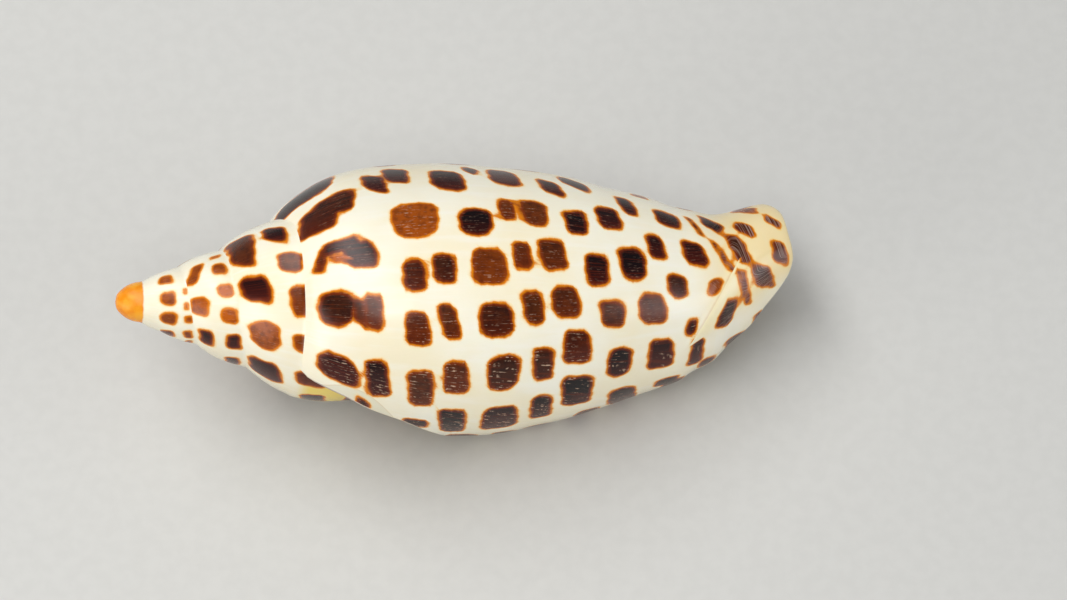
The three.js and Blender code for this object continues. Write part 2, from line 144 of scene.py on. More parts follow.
RIM_BY_ANGLE = [(-315, 103), (-270, 104), (-180, 105.5), (-135, 106.3), (-90, 107.3), (-60, 108.6),
    (-30, 109.2), (10, 110), (25, 109.7), (45, 108.1), (60, 105), (75, 101.3), (90, 97.6), (97, 95)]
HOLLOW_END_ANGLE = [(28.8, -105), (70, -105), (84, -98), (97, -88), (110, -88)]
QUARTER_ANGLES = (-270, -180, -90, 0, 90)

# The photograph's view: the picture's frame, and where the apex stands in it.
PICTURE_WIDTH = 1067
PICTURE_HEIGHT = 600
APEX_RIGHT_OF_MIDDLE = -67.36  # millimetres in the plane of the coiling axis
APEX_ABOVE_MIDDLE = -0.32
VIEW_TILT = 9.0  # degrees: the apex is this much nearer the camera than the siphonal end
VIEW_WIDTH = 171.75  # millimetres that the picture spans in that plane
LENS = 200.0
SENSOR = 36.0


def curve_slopes(places, values):
    """Tangents at each place: the harmonic mean of the slopes beside it, and 0 where they turn."""
    slopes = np.diff(values, axis=0) / np.diff(places).reshape((-1,) + (1,) * (values.ndim - 1))
    product = slopes[:-1] * slopes[1:]
    total = np.where(product > 0, slopes[:-1] + slopes[1:], 1.0)
    middle = np.where(product > 0, 2.0 * product / total, 0.0)
    return np.concatenate([slopes[:1], middle, slopes[-1:]])


def blend_knots(places, values, x):
    """Cubic through (place, value), with those tangents. Values may hold one column per x."""
    tangents = curve_slopes(places, values)
    x = np.clip(x, places[0], places[-1])
    i = np.clip(np.searchsorted(places, x, side="right") - 1, 0, len(places) - 2)
    step = (places[1:] - places[:-1])[i]
    t = (x - places[i]) / step
    if values.ndim == 1:
        low, high, leave, arrive = values[i], values[i + 1], tangents[i], tangents[i + 1]
    else:
        column = np.arange(values.shape[1])
        low, high = values[i, column], values[i + 1, column]
        leave, arrive = tangents[i, column], tangents[i + 1, column]
    rise = t * t * (3 - 2 * t)
    return low + (high - low) * rise + step * (t * (1 - t) ** 2 * leave - t * t * (1 - t) * arrive)


def curve(pairs):
    """Smooth curve through pairs, which never overshoots them; flat past both ends."""
    places, values = np.array(pairs, float).T
    return lambda x: blend_knots(places, values, np.asarray(x, float))


def ramp(x, low, high):
    """0 below low, 1 above high, and a smooth step 3t^2 - 2t^3 between."""
    t = np.clip((np.asarray(x, float) - low) / (high - low), 0.0, 1.0)
    return t * t * (3 - 2 * t)


def between(x, rise, fall):
    """1 past the first stretch and short of the second, with a smooth step over each."""
    return ramp(x, *rise) * (1 - ramp(x, *fall))


def mix(a, b, t):
    """A value t of the way from a to b."""
    return a + (b - a) * t


spire_radius = curve(SPIRE_RADIUS)
suture_shift = curve(SUTURE_SHIFT_BY_ANGLE)
columella = curve(OUTLINE_COLUMELLA)
canal_sideways = curve(CANAL_SIDEWAYS)
columella_sideways = curve(COLUMELLA_SIDEWAYS)
columella_forward = curve(COLUMELLA_FORWARD)
lip_line = curve(LIP_LINE)
rim = curve(RIM_BY_ANGLE)
hollow_end = curve(HOLLOW_END_ANGLE)
quarter_tables = (OUTLINE_COLUMELLA, OUTLINE_FRONT, OUTLINE_FAR_SIDE, OUTLINE_BACK, OUTLINE_LIP_SIDE)
quarter_outlines = [(curve(table), table[0][0]) for table in quarter_tables]


def suture_along(angle):
    """Suture's place: origin + reach * growth^((angle + 360) / 360), drawn to 0 at the apex."""
    angle = np.asarray(angle, float)

    def spiral(a):
        return SUTURE_ORIGIN + SUTURE_REACH * WHORL_GROWTH ** ((a + TURN) / TURN)

    first_turn = ramp(angle, FIRST_SUTURE_ANGLE, FIRST_SUTURE_ANGLE + TURN)
    to_apex = spiral(FIRST_SUTURE_ANGLE) * (1 - first_turn)
    shift = np.where(angle > QUARTER_ANGLES[0], suture_shift(angle), 0.0)
    along = np.maximum(0.0, spiral(angle) - to_apex + shift)
    return np.where(angle <= FIRST_SUTURE_ANGLE, 0.0, along)


def suture_radius(angle):
    """Radius of the shell where the suture runs."""
    return spire_radius(suture_along(angle))


def spire_whorl(along, angle):
    """Radius between two sutures: the straight line between them, swollen by a half sine wave.

    Past the lower suture it follows the columella's outline, scaled to meet that suture.
    """
    top = suture_along(angle)
    following = np.minimum(angle + TURN, LIP_ANGLE)
    bottom = suture_along(following)
    bottom_radius = suture_radius(following)
    width = bottom - top
    share = np.clip(np.where(width > 0, (along - top) / np.where(width > 0, width, 1.0), 1.0), 0.0, 1.0)
    cone = mix(suture_radius(angle), bottom_radius, share)
    straight = mix(spire_radius(along), cone, ramp(along, *DOME_TO_WHORLS))
    swell = WHORL_BULGE * width * np.sin(np.pi * share ** BULGE_SKEW) * ramp(along, *BULGE_GROWS)
    hidden = bottom_radius * columella(along) / columella(bottom)
    return np.where(along > bottom, hidden, straight + swell)


def body_whorl(along, angle):
    """Radius of the last whorl: five outlines, each read at the same share of its own length."""
    top = suture_along(angle)
    share = np.maximum(0.0, (along - top) / (SHELL_LENGTH - top))
    around = np.stack([outline(mix(start, SHELL_LENGTH, share)) for outline, start in quarter_outlines])
    at_suture = np.array([float(outline(start)) for outline, start in quarter_outlines])
    angles = np.array(QUARTER_ANGLES, float)
    offset = suture_radius(angle) - blend_knots(angles, at_suture, angle)
    return blend_knots(angles, around, angle) + offset * np.exp(-(along - top) / SUTURE_BLEND)


def folds(along, angle):
    """Height of the folds: bell curves side by side that wind down the columella."""
    drop = FOLD_PITCH * (angle - FOLD_ANGLE) / TURN
    height = np.zeros_like(along)
    for i in range(FOLD_COUNT):
        distance = along - (FOLD_START + i * FOLD_SPACING + drop)
        height += FOLD_HEIGHT * (1 - FOLD_THINNING * i) * np.exp(-((distance / FOLD_WIDTH) ** 2))
    return height * ramp(-angle, *FOLDS_BEGIN) * ramp(along, *FOLDS_DEEP_END)


def ledge_distance(along, angle):
    """Millimetres past the ledge's edge, along the axis."""
    return along - (LEDGE_ALONG - LEDGE_SLANT * angle)


def ledge(along, angle):
    """Height of the overlapping layer: a steep step that dies away towards the siphonal end."""
    past = ledge_distance(along, angle)
    width = between(angle, LEDGE_BEGINS, LEDGE_ENDS)
    step = np.where(past < 0, ramp(past, -LEDGE_STEEPNESS, 0), np.exp(-np.maximum(past, 0) / LEDGE_FADE))
    return LEDGE_HEIGHT * width * step


def outside_radius(along, angle):
    """Radius of the outside: the spire's formula gives way to the last whorl's, plus the relief."""
    along, angle = (part.ravel() for part in np.broadcast_arrays(np.asarray(along, float), angle))
    early = ramp(angle, *SPIRE_TO_LAST_WHORL)
    radius = (1 - early) * spire_whorl(along, angle)
    last = early > 0
    radius[last] += early[last] * body_whorl(along[last], angle[last])
    return radius + ledge(along, angle) + folds(along, angle)


def place(along, angle, radius):
    """Point at a radius round the whorl's middle or, turned far enough back, round the columella's."""
    inner = ramp(-angle, *CENTRE_TO_COLUMELLA)
    side = mix(canal_sideways(along), columella_sideways(along), inner)
    front = columella_forward(along) * inner
    turn = np.radians(angle)
    return np.stack([along, -(side + radius * np.sin(turn)), front + radius * np.cos(turn)], axis=-1)


def outside(along, angle):
    """Points of the outside."""
    along, angle = np.broadcast_arrays(np.asarray(along, float), np.asarray(angle, float))
    return place(along, angle, outside_radius(along, angle).reshape(along.shape))


def row_places():
    """Row places down the last whorl, 0 at the shoulder and 1 at the rim, closer near the rim."""
    shoulder = FOLD_ZONE_START * np.arange(SHOULDER_ROWS) / SHOULDER_ROWS
    middle = mix(FOLD_ZONE_START, FOLD_ZONE_END, np.arange(FOLD_ROWS) / FOLD_ROWS)
    end = mix(FOLD_ZONE_END, 1.0, 1 - (1 - np.arange(END_ROWS + 1) / END_ROWS) ** END_CROWDING)
    return np.concatenate([shoulder, middle, end])


ROW_SHARES = row_places()
LAST_ROWS = len(ROW_SHARES) - 1
CORNER_ALONG = float(suture_along(LIP_ANGLE))
LIP_END_ALONG = float(rim(lip_line(SHELL_LENGTH)))
SPIRE_COLUMNS = round((LIP_ANGLE - FIRST_SUTURE_ANGLE) / TURN * COLUMNS)


def lip_angle(share):
    """Where the outer lip stands on a row."""
    return lip_line(mix(CORNER_ALONG, LIP_END_ALONG, share))


def end_angle(share):
    """Where the hollow ends on a row."""
    return hollow_end(mix(CORNER_ALONG, SHELL_LENGTH, share))


def outside_angle(column, share):
    """Angle of a column on a row: even at the shoulder, paired with the inside near the rim."""
    column, share = np.broadcast_arrays(np.asarray(column, float), np.asarray(share, float))
    turned = TURN * column / COLUMNS
    even = LIP_ANGLE - turned + (lip_angle(share) - LIP_ANGLE) * (1 - ramp(turned, *LIP_LEAN_FADES))
    end = end_angle(share)
    over = mix(lip_angle(share), end, column / HALF)
    under = mix(end, LIP_ANGLE - TURN, column / HALF - 1)
    return mix(even, np.where(column <= HALF, over, under), ramp(share, *ROWS_PAIR_UP))


def hollow_start(angle):
    """Where the hollow starts along the axis: a little below the suture, and at it by the lip."""
    return suture_along(np.minimum(angle, LIP_ANGLE)) + ROOF_AT_SUTURE * ramp(LIP_ANGLE - angle, *ROOF_DROPS)


def inner_floor(angle, share, end):
    """Point on the columella's side of the hollow, on a row that ends at the given place."""
    along = mix(hollow_start(angle), end, share)
    inner = angle - TURN
    return place(along, inner, spire_whorl(along, inner) + folds(along, inner))


def inner_wall(angle, share, deep):
    """Point on the inner face of the outer wall. It meets the floor in a quarter ellipse."""
    along = mix(hollow_start(angle), rim(angle), share)
    full = mix(LIP_WALL, WALL, ramp(deep, *LIP_THICKENS))
    wall = mix(full, RIM_WALL, ramp(along, rim(angle) - RIM_THINS, rim(angle)))
    radius = outside_radius(along, angle).reshape(along.shape) - wall
    room = radius - spire_whorl(along, np.minimum(angle, LIP_ANGLE) - TURN)
    kept = (room + np.sqrt(room * room + LEAST_ROOM)) / 2
    closing = np.maximum(0.0, (deep - HOLLOW_ROUNDING) / (1 - HOLLOW_ROUNDING))
    floor = inner_floor(np.minimum(angle, LIP_ANGLE), share, rim(angle))
    face = place(along, angle, radius + kept - room)
    return mix(floor, face, np.sqrt(np.maximum(0.0, 1 - closing * closing))[..., None])


def lip_edge(column, share):
    """Point on the outer lip's rounded edge: half a circle as wide as the lip is thick."""
    lip = lip_angle(share)
    along = mix(CORNER_ALONG, rim(lip), share)
    radius = outside_radius(along, lip).reshape(lip.shape)
    turn = np.pi * column / LIP_COLUMNS
    forward = np.degrees(LIP_WALL / 2 * np.sin(turn) / radius)
    return place(along, lip + forward, radius - LIP_WALL / 2 * (1 - np.cos(turn)))


def inside_grid():
    """The inside: round the lip's edge, in under the wall, and back out on the columella."""
    column = np.arange(COLUMNS + 1, dtype=float)[:, None] + 0 * ROW_SHARES
    share = ROW_SHARES + 0 * column
    lip, end = lip_angle(share), end_angle(share)
    inwards = np.where(column <= HALF, column / HALF, 2 - column / HALF)
    points = np.zeros(column.shape + (3,))
    floor = slice(HALF, None)
    rim_place = rim(outside_angle(column, 1.0 + 0 * share))
    points[floor] = inner_floor(mix(LIP_ANGLE, end, inwards)[floor], share[floor], rim_place[floor])
    edge = slice(0, LIP_COLUMNS)
    points[edge] = lip_edge(column[edge], share[edge])
    wall = slice(LIP_COLUMNS, HALF)
    deep = (column[wall] - LIP_COLUMNS) / (HALF - LIP_COLUMNS)
    points[wall] = inner_wall(mix(lip[wall], end[wall], deep), share[wall], deep)
    angle = np.where(column < LIP_COLUMNS, lip, mix(LIP_ANGLE, end, inwards) - TURN)
    angle[wall] = mix(lip[wall], end[wall], deep)
    corner_angle = mix(LIP_ANGLE, float(end_angle(0.0)), inwards[:, 0])
    corner_along, back = hollow_start(corner_angle), corner_angle - TURN
    points[:, 0] = place(corner_along, back, spire_whorl(corner_along, back))
    return angle, points


def round_rim(column):
    """Keeps of each wall's half thickness, by row: 1, and a quarter ellipse to 0 at the rim."""
    around = column / COLUMNS
    thick = mix(*RIM_ROUNDING, between(around, *THICKER_ROUNDING))
    past = np.maximum(0.0, (ROW_SHARES - (1 - thick)) / thick)
    return np.sqrt(np.maximum(0.0, 1 - past * past))[..., None]


def number_spire():
    """Point numbers of the spire's strip: its upper edge is the lower edge of a turn before."""
    count = SPIRE_COLUMNS + 1
    numbers = np.zeros((count, SPIRE_ROWS + 1), int)
    numbers[1:, 1:] = 1 + np.arange((count - 1) * SPIRE_ROWS).reshape(-1, SPIRE_ROWS)
    numbers[COLUMNS:, 0] = numbers[: count - COLUMNS, SPIRE_ROWS]
    return numbers


def number_last_whorl(spire, start):
    """Point numbers of the outside and the inside, which share the rim and the lip's edge."""
    rows = SPIRE_ROWS + LAST_ROWS + 1
    outer = start + np.arange((COLUMNS + 1) * rows).reshape(-1, rows)
    inner = outer.max() + 1 + np.arange((COLUMNS + 1) * (LAST_ROWS + 1)).reshape(COLUMNS + 1, -1)
    outer[:, 0] = spire[SPIRE_COLUMNS - COLUMNS:, SPIRE_ROWS][::-1]
    outer[COLUMNS, :SPIRE_ROWS] = spire[SPIRE_COLUMNS, :SPIRE_ROWS]
    corner = spire[SPIRE_COLUMNS, SPIRE_ROWS]
    outer[0, : SPIRE_ROWS + 1] = corner
    outer[COLUMNS, SPIRE_ROWS] = corner
    inner[HALF + 1:, 0] = inner[:HALF, 0][::-1]
    inner[:, LAST_ROWS] = outer[:, SPIRE_ROWS + LAST_ROWS]
    inner[0] = outer[0, SPIRE_ROWS:]
    inner[COLUMNS] = outer[COLUMNS, SPIRE_ROWS:]
    return outer, inner


def spire_grid():
    """Along, angle and points of the spire's strip."""
    angle = FIRST_SUTURE_ANGLE - TURN + TURN * np.arange(SPIRE_COLUMNS + 1) / COLUMNS
    share = np.arange(SPIRE_ROWS + 1) / SPIRE_ROWS
    along = mix(suture_along(angle)[:, None], suture_along(angle + TURN)[:, None], share)
    angle = angle[:, None] + 0 * along
    return along, angle, outside(along, angle)


def last_whorl_grid():
    """Along, angle and points of the outside, first the band below the suture, then the rows."""
    column = np.arange(COLUMNS + 1, dtype=float)[:, None]
    turned = TURN * column / COLUMNS
    start_angle = LIP_ANGLE - turned
    band = (CORNER_ALONG - float(suture_along(LIP_ANGLE - TURN))) * turned / TURN
    start = suture_along(start_angle)
    band_along = start + band * np.arange(SPIRE_ROWS) / SPIRE_ROWS
    angle = outside_angle(column, ROW_SHARES)
    along = mix(start + band, rim(angle), ROW_SHARES)
    along = np.concatenate([band_along, along], axis=1)
    angle = np.concatenate([start_angle + 0 * band_along, angle], axis=1)
    return along, angle, outside(along, angle)


def cell_corners(shape):
    """Grid places of the corners of two triangles per cell, faces outward on a rising grid."""
    flat = np.arange(shape[0] * shape[1]).reshape(shape)
    a, b, c, d = flat[:-1, :-1], flat[:-1, 1:], flat[1:, 1:], flat[1:, :-1]
    return np.concatenate([np.stack([a, c, b], -1).reshape(-1, 3), np.stack([a, d, c], -1).reshape(-1, 3)])


def turn_matrix(roll, tilt):
    """A turn about X by roll after a turn about Y by tilt, both in degrees."""
    return np.array(Matrix.Rotation(np.radians(roll), 3, "X") @ Matrix.Rotation(np.radians(tilt), 3, "Y"))


class ShellSurface:
    """The shell's grids, its shared points, and what each grid place is along and round the coil."""

    def __init__(self):
        spire_along, spire_angle, spire_points = spire_grid()
        along, angle, points = last_whorl_grid()
        inside_angle, inside = inside_grid()
        spire_numbers = number_spire()
        outer, inner = number_last_whorl(spire_numbers, spire_numbers.max() + 1)
        outer_rows = points[:, SPIRE_ROWS:]
        middle = (outer_rows + inside) / 2
        keep = round_rim(np.arange(COLUMNS + 1, dtype=float)[:, None])
        rounded = mix(middle, outer_rows, keep)
        rounded[COLUMNS] = outer_rows[COLUMNS]
        points[:, SPIRE_ROWS:] = rounded
        inside = mix(middle, inside, keep)
        self.points = np.zeros((inner.max() + 1, 3))
        self.points[inner] = inside
        self.points[outer] = points
        self.points[spire_numbers] = spire_points
        self.points[0] = 0.0
        self.grids = [
            {"numbers": spire_numbers, "along": spire_along, "angle": spire_angle, "inside": 0.0},
            {"numbers": outer[::-1], "along": along[::-1], "angle": angle[::-1], "inside": 0.0},
            {"numbers": inner, "along": inside[..., 0], "angle": inside_angle, "inside": 1.0},
        ]

    def triangles(self):
        """Triangles as point numbers, and for each its corners' places in the joined grids."""
        faces, corners, start = [], [], 0
        for grid in self.grids:
            cells = cell_corners(grid["numbers"].shape)
            faces.append(grid["numbers"].ravel()[cells])
            corners.append(cells + start)
            start += grid["numbers"].size
        faces, corners = np.concatenate(faces), np.concatenate(corners)
        a, b, c = faces.T
        whole = (a != b) & (b != c) & (c != a)
        return faces[whole], corners[whole]


def lay_down(points):
    """The points turned as the shell lies, centred over the origin, and the move that did it."""
    turned = points @ turn_matrix(REST_ROLL, REST_TILT).T
    low, high = turned.min(0), turned.max(0)
    move = -np.array([(low[0] + high[0]) / 2, (low[1] + high[1]) / 2, low[2] + FLAT_DEPTH])
    return turned + move, move


# Spots on the side that the photograph shows, each as (x, y, width, height, lean, slope, amber) in
# pixels of its 1067 x 600 picture. Lean is how far a spot's sides run right per pixel down, slope is
# how far its upper and lower edges run down per pixel to the right, and amber is how pale it is.
# Zeros at a spot's end are left out. A whorl is counted in turns back from the last one.
SEEN_SPOTS = {
    3: [
        (166, 280, 15, 9, 0, -0.1, 0.5), (168, 298.5, 16, 14, 0, 0, 0.45),
        (168.5, 318, 18, 12, 0, 0.05, 0.3), (167.5, 333.5, 18, 8, 0.2, 0.25, 0.1),
        (185, 291.5, 4, 6, 0, 0, 1), (187, 306.5, 5, 8, 0, 0, 0.9), (188.5, 319.5, 8.5, 8, 0, 0, 0.6),
        (189, 334.5, 10, 8, 0, 0, 0.3), (189, 341.5, 8, 3, 0, 0, 0.2),
    ],
    2: [
        (195, 274.5, 13, 19, -0.35, -0.3, 0.35), (201, 306.5, 19, 19, 0.1, 0, 0.6),
        (206.5, 337, 17, 17, 0.1, 0.25), (214, 257.5, 10, 3, 0, -0.35, 0.9),
        (219.5, 269, 15.5, 12, 0.1, 0, 0.4), (225.7, 290.5, 16.5, 14, 0.1, 0, 0.85),
        (229.7, 316, 17, 16, 0.1, 0, 0.7), (233, 342, 17.5, 16, 0.1), (233, 360.5, 17, 8, 0, 0.1),
    ],
    1: [
        (241, 252.5, 29, 27, 0.25, -0.2, 0.1), (256, 289, 33, 26.5, 0.25, 0.02),
        (265, 335.5, 33, 31, 0.2, 0.1, 0.45), (266, 370.5, 36, 17, 0.1, 0.42),
        (275.5, 234.5, 27, 15, 0.2, 0.05), (290, 262.5, 26, 21, 0.15, 0, 0.2),
        (305, 301.5, 30, 33, 0.15, 0, 0.2), (308, 344, 22, 18, 0.1, 0.05, 0.3),
        (314, 377.5, 32, 19, 0, 0.2, 0.1), (311, 397.5, 27, 7, 0, 0.05),
    ],
    0: [
        (303, 200, 60, 11, 0, -0.68), (312, 222, 28, 26, 0, -0.5, 0.05), (327, 213, 28, 30, 0, -0.5, 0.05),
        (344, 201, 27, 23, 0, -0.25, 0.05), (362, 254, 35, 29, 0.25, -0.08), (340, 246, 40, 15, 0, -0.28),
        (321, 262, 14, 27, -0.25, 0, 0.1), (342, 258, 22, 9, 0, -0.1, 0.8),
        (337, 308.5, 40, 37, -0.1, 0.08, 0.05), (374.5, 312, 21, 38, 0, 0.08, 0.1),
        (358, 311, 14, 26, 0, 0, 0.1), (337.5, 369, 43, 28, 0, 0.42), (377.5, 378, 25, 39, 0.1),
        (364, 404, 14, 10, 0, 0.5, 0.05), (373, 184, 26, 17, 0.4, 0.15), (397, 176, 28, 14, 0.3, 0.05),
        (415, 220.5, 47, 35, 0.15, -0.1, 0.45), (415, 275, 25, 35, 0.05, 0, 0.05),
        (445, 268.5, 25, 32, 0.1, 0, 0.05), (419, 328.5, 26, 36, 0.1, 0, 0.1),
        (450, 321, 20, 39, 0.27, -0.1, 0.1), (420, 388, 27, 36, 0, 0, 0.1), (457.5, 377, 27, 34, 0, 0, 0.1),
        (414, 425, 28, 12, 0, 0.1), (453, 420.5, 28, 22), (447.5, 181, 36, 20, 0.35, 0.1),
        (475, 222.5, 36, 29, 0.1), (489.5, 266, 36, 38, 0.1, -0.03, 0.2),
        (496.5, 320, 36, 37, 0.08, -0.05, 0.05), (503.5, 373, 34, 37, -0.08, -0.12, 0.05),
        (500, 417, 38, 22, -0.1, -0.14), (470, 170, 20, 7, 0, 0.35), (504.5, 178.5, 32, 15, 0.5, 0.15),
        (507, 210, 19, 22, 0.15, 0.05, 0.15), (533.5, 213.5, 28, 27, 0.25, 0.1, 0.15),
        (523, 256, 20, 30, 0.15, 0, 0.1), (553, 254.5, 28, 33, 0.22, 0, 0.1),
        (533.5, 308, 22, 37, 0.13, 0, 0.1), (566, 302, 30, 34, 0.15, -0.04, 0.1),
        (543.5, 363.5, 22, 34, 0, -0.1, 0.05), (577.5, 346.5, 29, 35, 0, 0, 0.05),
        (541.5, 406, 23, 23, -0.1, -0.15), (577.5, 390, 32, 29, -0.05, -0.12), (550, 187, 24, 14, 0.6, 0.3),
        (573.5, 183, 36, 9, 0.2, 0.4), (576, 223, 24, 25, 0.25), (609, 218.5, 26, 24, 0.4, 0.1),
        (627, 206.5, 18, 18, 0.6, 0.25), (639, 196.5, 18, 4, 0, 0.3, 0.3), (597.5, 270, 25, 34, 0.1),
        (633, 264, 28, 36, 0.2), (656, 247, 19, 28, 0.3, 0.1), (667, 219, 27, 15, 0.4, 0.3),
        (684, 208, 14, 4, 0, 0.25), (695, 226, 7, 16, 0.8, 0.3), (711.5, 225, 26, 12, 0.2, 0.5),
        (694.5, 254, 25, 25, 0.3, 0.2), (677.5, 286, 21, 26, 0.2, 0, 0.05),
        (613, 314, 26, 29, 0.08, 0, 0.1), (653, 308.5, 29, 32, 0.1, 0, 0.1),
        (619.5, 362, 26, 30, -0.05, -0.2), (661.5, 353, 27, 30, -0.05, -0.12),
        (622.5, 395, 29, 15, 0, -0.28), (666, 381.5, 26, 8, 0, -0.3), (723, 256.5, 8, 25, 0.65, 0.2, 0.15),
        (739.5, 249, 16, 25, 0.5, 0.2, 0.05), (746, 228, 23, 13, 0.2, 0.5, 0.05),
        (746, 211.5, 30, 4, 0, 0.05, 0.3), (773, 221, 18, 9, 0.2, 0.5, 0.05),
        (779, 253, 17, 24, 0.1, 0.4, 0.05), (762, 276.5, 18, 24, 0.25, 0.3, 0.05),
        (743.5, 288, 9, 31, 0.25, 0, 0.1), (715, 286.5, 17, 20, -0.35, 0, 0.35),
        (727, 312, 20, 34, -0.3, -0.25), (697, 350.5, 15, 26, -0.15, -0.1), (691, 327, 13, 20, -0.25),
        (738, 338, 24, 8, 0, -0.55), (760, 318, 9, 9, 0, -0.8),
    ],
}

# Rows of spots where the photograph doesn't reach: (whorl, share of the whorl's width, length along
# and length round in millimetres, degrees from one spot to the next, first and last angle).
HIDDEN_ROWS = [
    (3, 0.3, 2.6, 2.1, 36, 105, 245), (3, 0.85, 1.3, 1.3, 40, 110, 270), (2, 0.22, 3.0, 3.0, 41, 98, 262),
    (2, 0.8, 2.6, 2.4, 39, 100, 245), (1, 0.22, 5.2, 4.8, 37, 102, 245), (1, 0.76, 4.2, 3.6, 33, 92, 245),
    (0, 0.085, 8.6, 5.8, 27, 98, 250), (0, 0.215, 4.4, 5.8, 27, 92, 290), (0, 0.285, 4.0, 5.6, 27, 97, 286),
    (0, 0.37, 6.0, 6.0, 26, 90, 262), (0, 0.445, 3.6, 5.6, 26, 94, 240), (0, 0.505, 4.6, 5.4, 26, 92, 226),
    (0, 0.595, 4.4, 5.2, 26, 94, 214), (0, 0.67, 5.0, 5.2, 26, 98, 206), (0, 0.745, 4.2, 4.8, 26, 94, 200),
    (0, 0.815, 3.6, 4.4, 27, 96, 190), (0, 0.88, 3.2, 4.2, 27, 100, 180), (0, 0.945, 3.0, 3.8, 28, 92, 170),
]
# Single spots between the shell's lower edge in the picture and the outer lip, each as (along, angle,
# length along, length round).
LIP_SIDE_SPOTS = [
    (41.5, 70, 5.0, 3.4), (46.5, 76, 4.2, 3.6), (56, 84, 5.6, 4.6), (56.5, 98, 5.0, 3.0), (63, 86, 3.8, 5.0),
    (63.5, 103, 4.0, 3.4), (68.5, 88, 4.6, 5.0), (70, 106, 4.6, 3.2), (76.5, 80, 4.4, 4.8),
    (76, 100, 4.6, 4.4), (83, 86, 4.6, 4.6), (83, 103, 4.2, 3.0), (90.5, 78, 3.8, 4.4), (90, 96, 3.4, 3.6),
    (96, 70, 3.0, 4.0),
]
SPOT_ROUNDNESS = (0.5, 0.85)  # least and most corner radius, as a share of a spot's smaller half
SPOT_TAPER = 0.13  # most that a spot's two ends differ from its middle's length
SPOT_UNEVENNESS = 0.08  # millimetres
SPOT_MERGE = 0.25  # millimetres under which two spots run into one
LEAST_FACING = 0.3  # keeps a spot near the shell's edge in the picture from growing without end
LEAST_LIMB_HEIGHT = 0.7  # a spot there is at least this share of its length round the shell
STEEPEST_SPOT = 0.9  # most lean or slope of a spot on the surface
SPOT_WAVES = ((2.3, 1.1, 1), (-0.8, 2.9, 3))  # radians per millimetre along and round, and share of a turn
EVENER_SPOT = 1.5  # millimetres: a spot with a smaller half than this is more even
SPOT_REACH = 9.0  # millimetres from a spot beyond which it counts for nothing
SPOT_REACH_ANGLE = 80
SPOT_NUMBERS = 7
STEEP_SLOPE = 0.3  # a spot's height comes from the picture when its slope is past this
LIMB_ANGLE = 50  # degrees from the middle of the back past which a spot may be too flat
LEAST_HALF = 0.2
WHORL_IN_VIEW = 140  # degrees either side of the middle of the back
PIXEL_BLUR = 0.2
HIDDEN_TURN_JITTER = 0.12
HIDDEN_ROW_JITTER = 0.008
HIDDEN_SIZES = (0.85, 1.12)
HIDDEN_LEANS = (-0.1, 0.3)
HIDDEN_SLOPES = (-0.15, 0.15)
HIDDEN_AMBERS = (0.0, 0.1, 0.3)
HIDDEN_AMBER_CHANCES = (0.5, 0.35, 0.15)
AMBER_BY_WHORL = 0.12
LIP_SIDE_LOOK = (0.05, 0.15, 0.05)  # lean, slope and amber
LAYER_BAND = (0.5, 2.3)  # bare millimetres past the ledge's edge, at its upper and its lower end
LAYER_WIDENS = (-15, 15)
LAYER_STARTS = (0.2, 0.6)
MARGIN_WIDTH = 11.0  # degrees that the last growth by the upper lip spans at its widest
MARGIN_STRETCH = (32, 45)
MARGIN_RADIUS = 18.0
LINES_TURN = (94, 101)  # where the growth lines turn round the rim
LINES_RADIUS = (20, 4)
LINES_NEAR_LIP = (0, 35)
LINES_BEND = 1.6
LINES_LIP_BEND = 1.5
LIP_BEND = 0.25
LIP_BEND_START = 30.0
LIP_BEND_ANGLES = (10, 80)
WEAR = (0.2, 0.85)  # least and most share of flecks in the spots
LEAST_WEAR = 0.7
WEAR_ANGLES = (4, 26)
WEAR_STARTS = (30, 36)
WEAR_FADES = (60, 90)
# Where a yellow glow is painted: light from the lip lying on the shaded whorl under the upper lip.
LIP_GLOW_ANGLES = ((-318, -306), (-262, -250))
LIP_GLOW_STARTS = (28.5, 30.5)
SHADE_DEPTH = 14.0  # degrees in from the lip
SHADE_EDGE = 2.0
SHADE_STRETCH = ((30, 32), (36, 40))
TINT_STARTS = (90, 101)
TINT_ANGLES = ((-140, -70), (10, 45))
RANDOM_SEED = 11
GOLDEN_SHARE = 0.618  # steps by it spread the spots' looks evenly
TAU = 2 * np.pi


class View:
    """The photograph's camera: its axes as columns (right, up, back), its place and its distance."""

    def __init__(self, apex):
        self.axes = turn_matrix(REST_ROLL, REST_TILT - VIEW_TILT)
        self.distance = LENS * VIEW_WIDTH / SENSOR
        right, up, back = self.axes.T
        middle = apex - APEX_RIGHT_OF_MIDDLE * right - APEX_ABOVE_MIDDLE * up
        self.place = middle + self.distance * back

    def pixels(self, points):
        """Picture place of each point: perspective, x to the right and y down."""
        seen = (points - self.place) @ self.axes
        scale = self.distance / -seen[..., 2] * PICTURE_WIDTH / VIEW_WIDTH
        x = PICTURE_WIDTH / 2 + seen[..., 0] * scale
        y = PICTURE_HEIGHT / 2 - seen[..., 1] * scale
        return np.stack([x, y], -1)


def grid_normals(points):
    """Outward direction at each grid place: the cross product of the two grid directions."""
    normals = np.cross(np.gradient(points, axis=0), np.gradient(points, axis=1))
    return normals / np.maximum(np.linalg.norm(normals, axis=-1, keepdims=True), 1e-9)


def seen_places(surface, laid, view):
    """Picture place, along and angle of every outside point that faces the camera."""
    parts = []
    for grid in surface.grids[:2]:
        points = laid[grid["numbers"]]
        facing = (grid_normals(points) * (view.place - points)).sum(-1) > 0
        pixels = view.pixels(points)
        parts.append(np.stack([pixels[..., 0], pixels[..., 1], grid["along"], grid["angle"]], -1)[facing])
    return np.concatenate(parts)


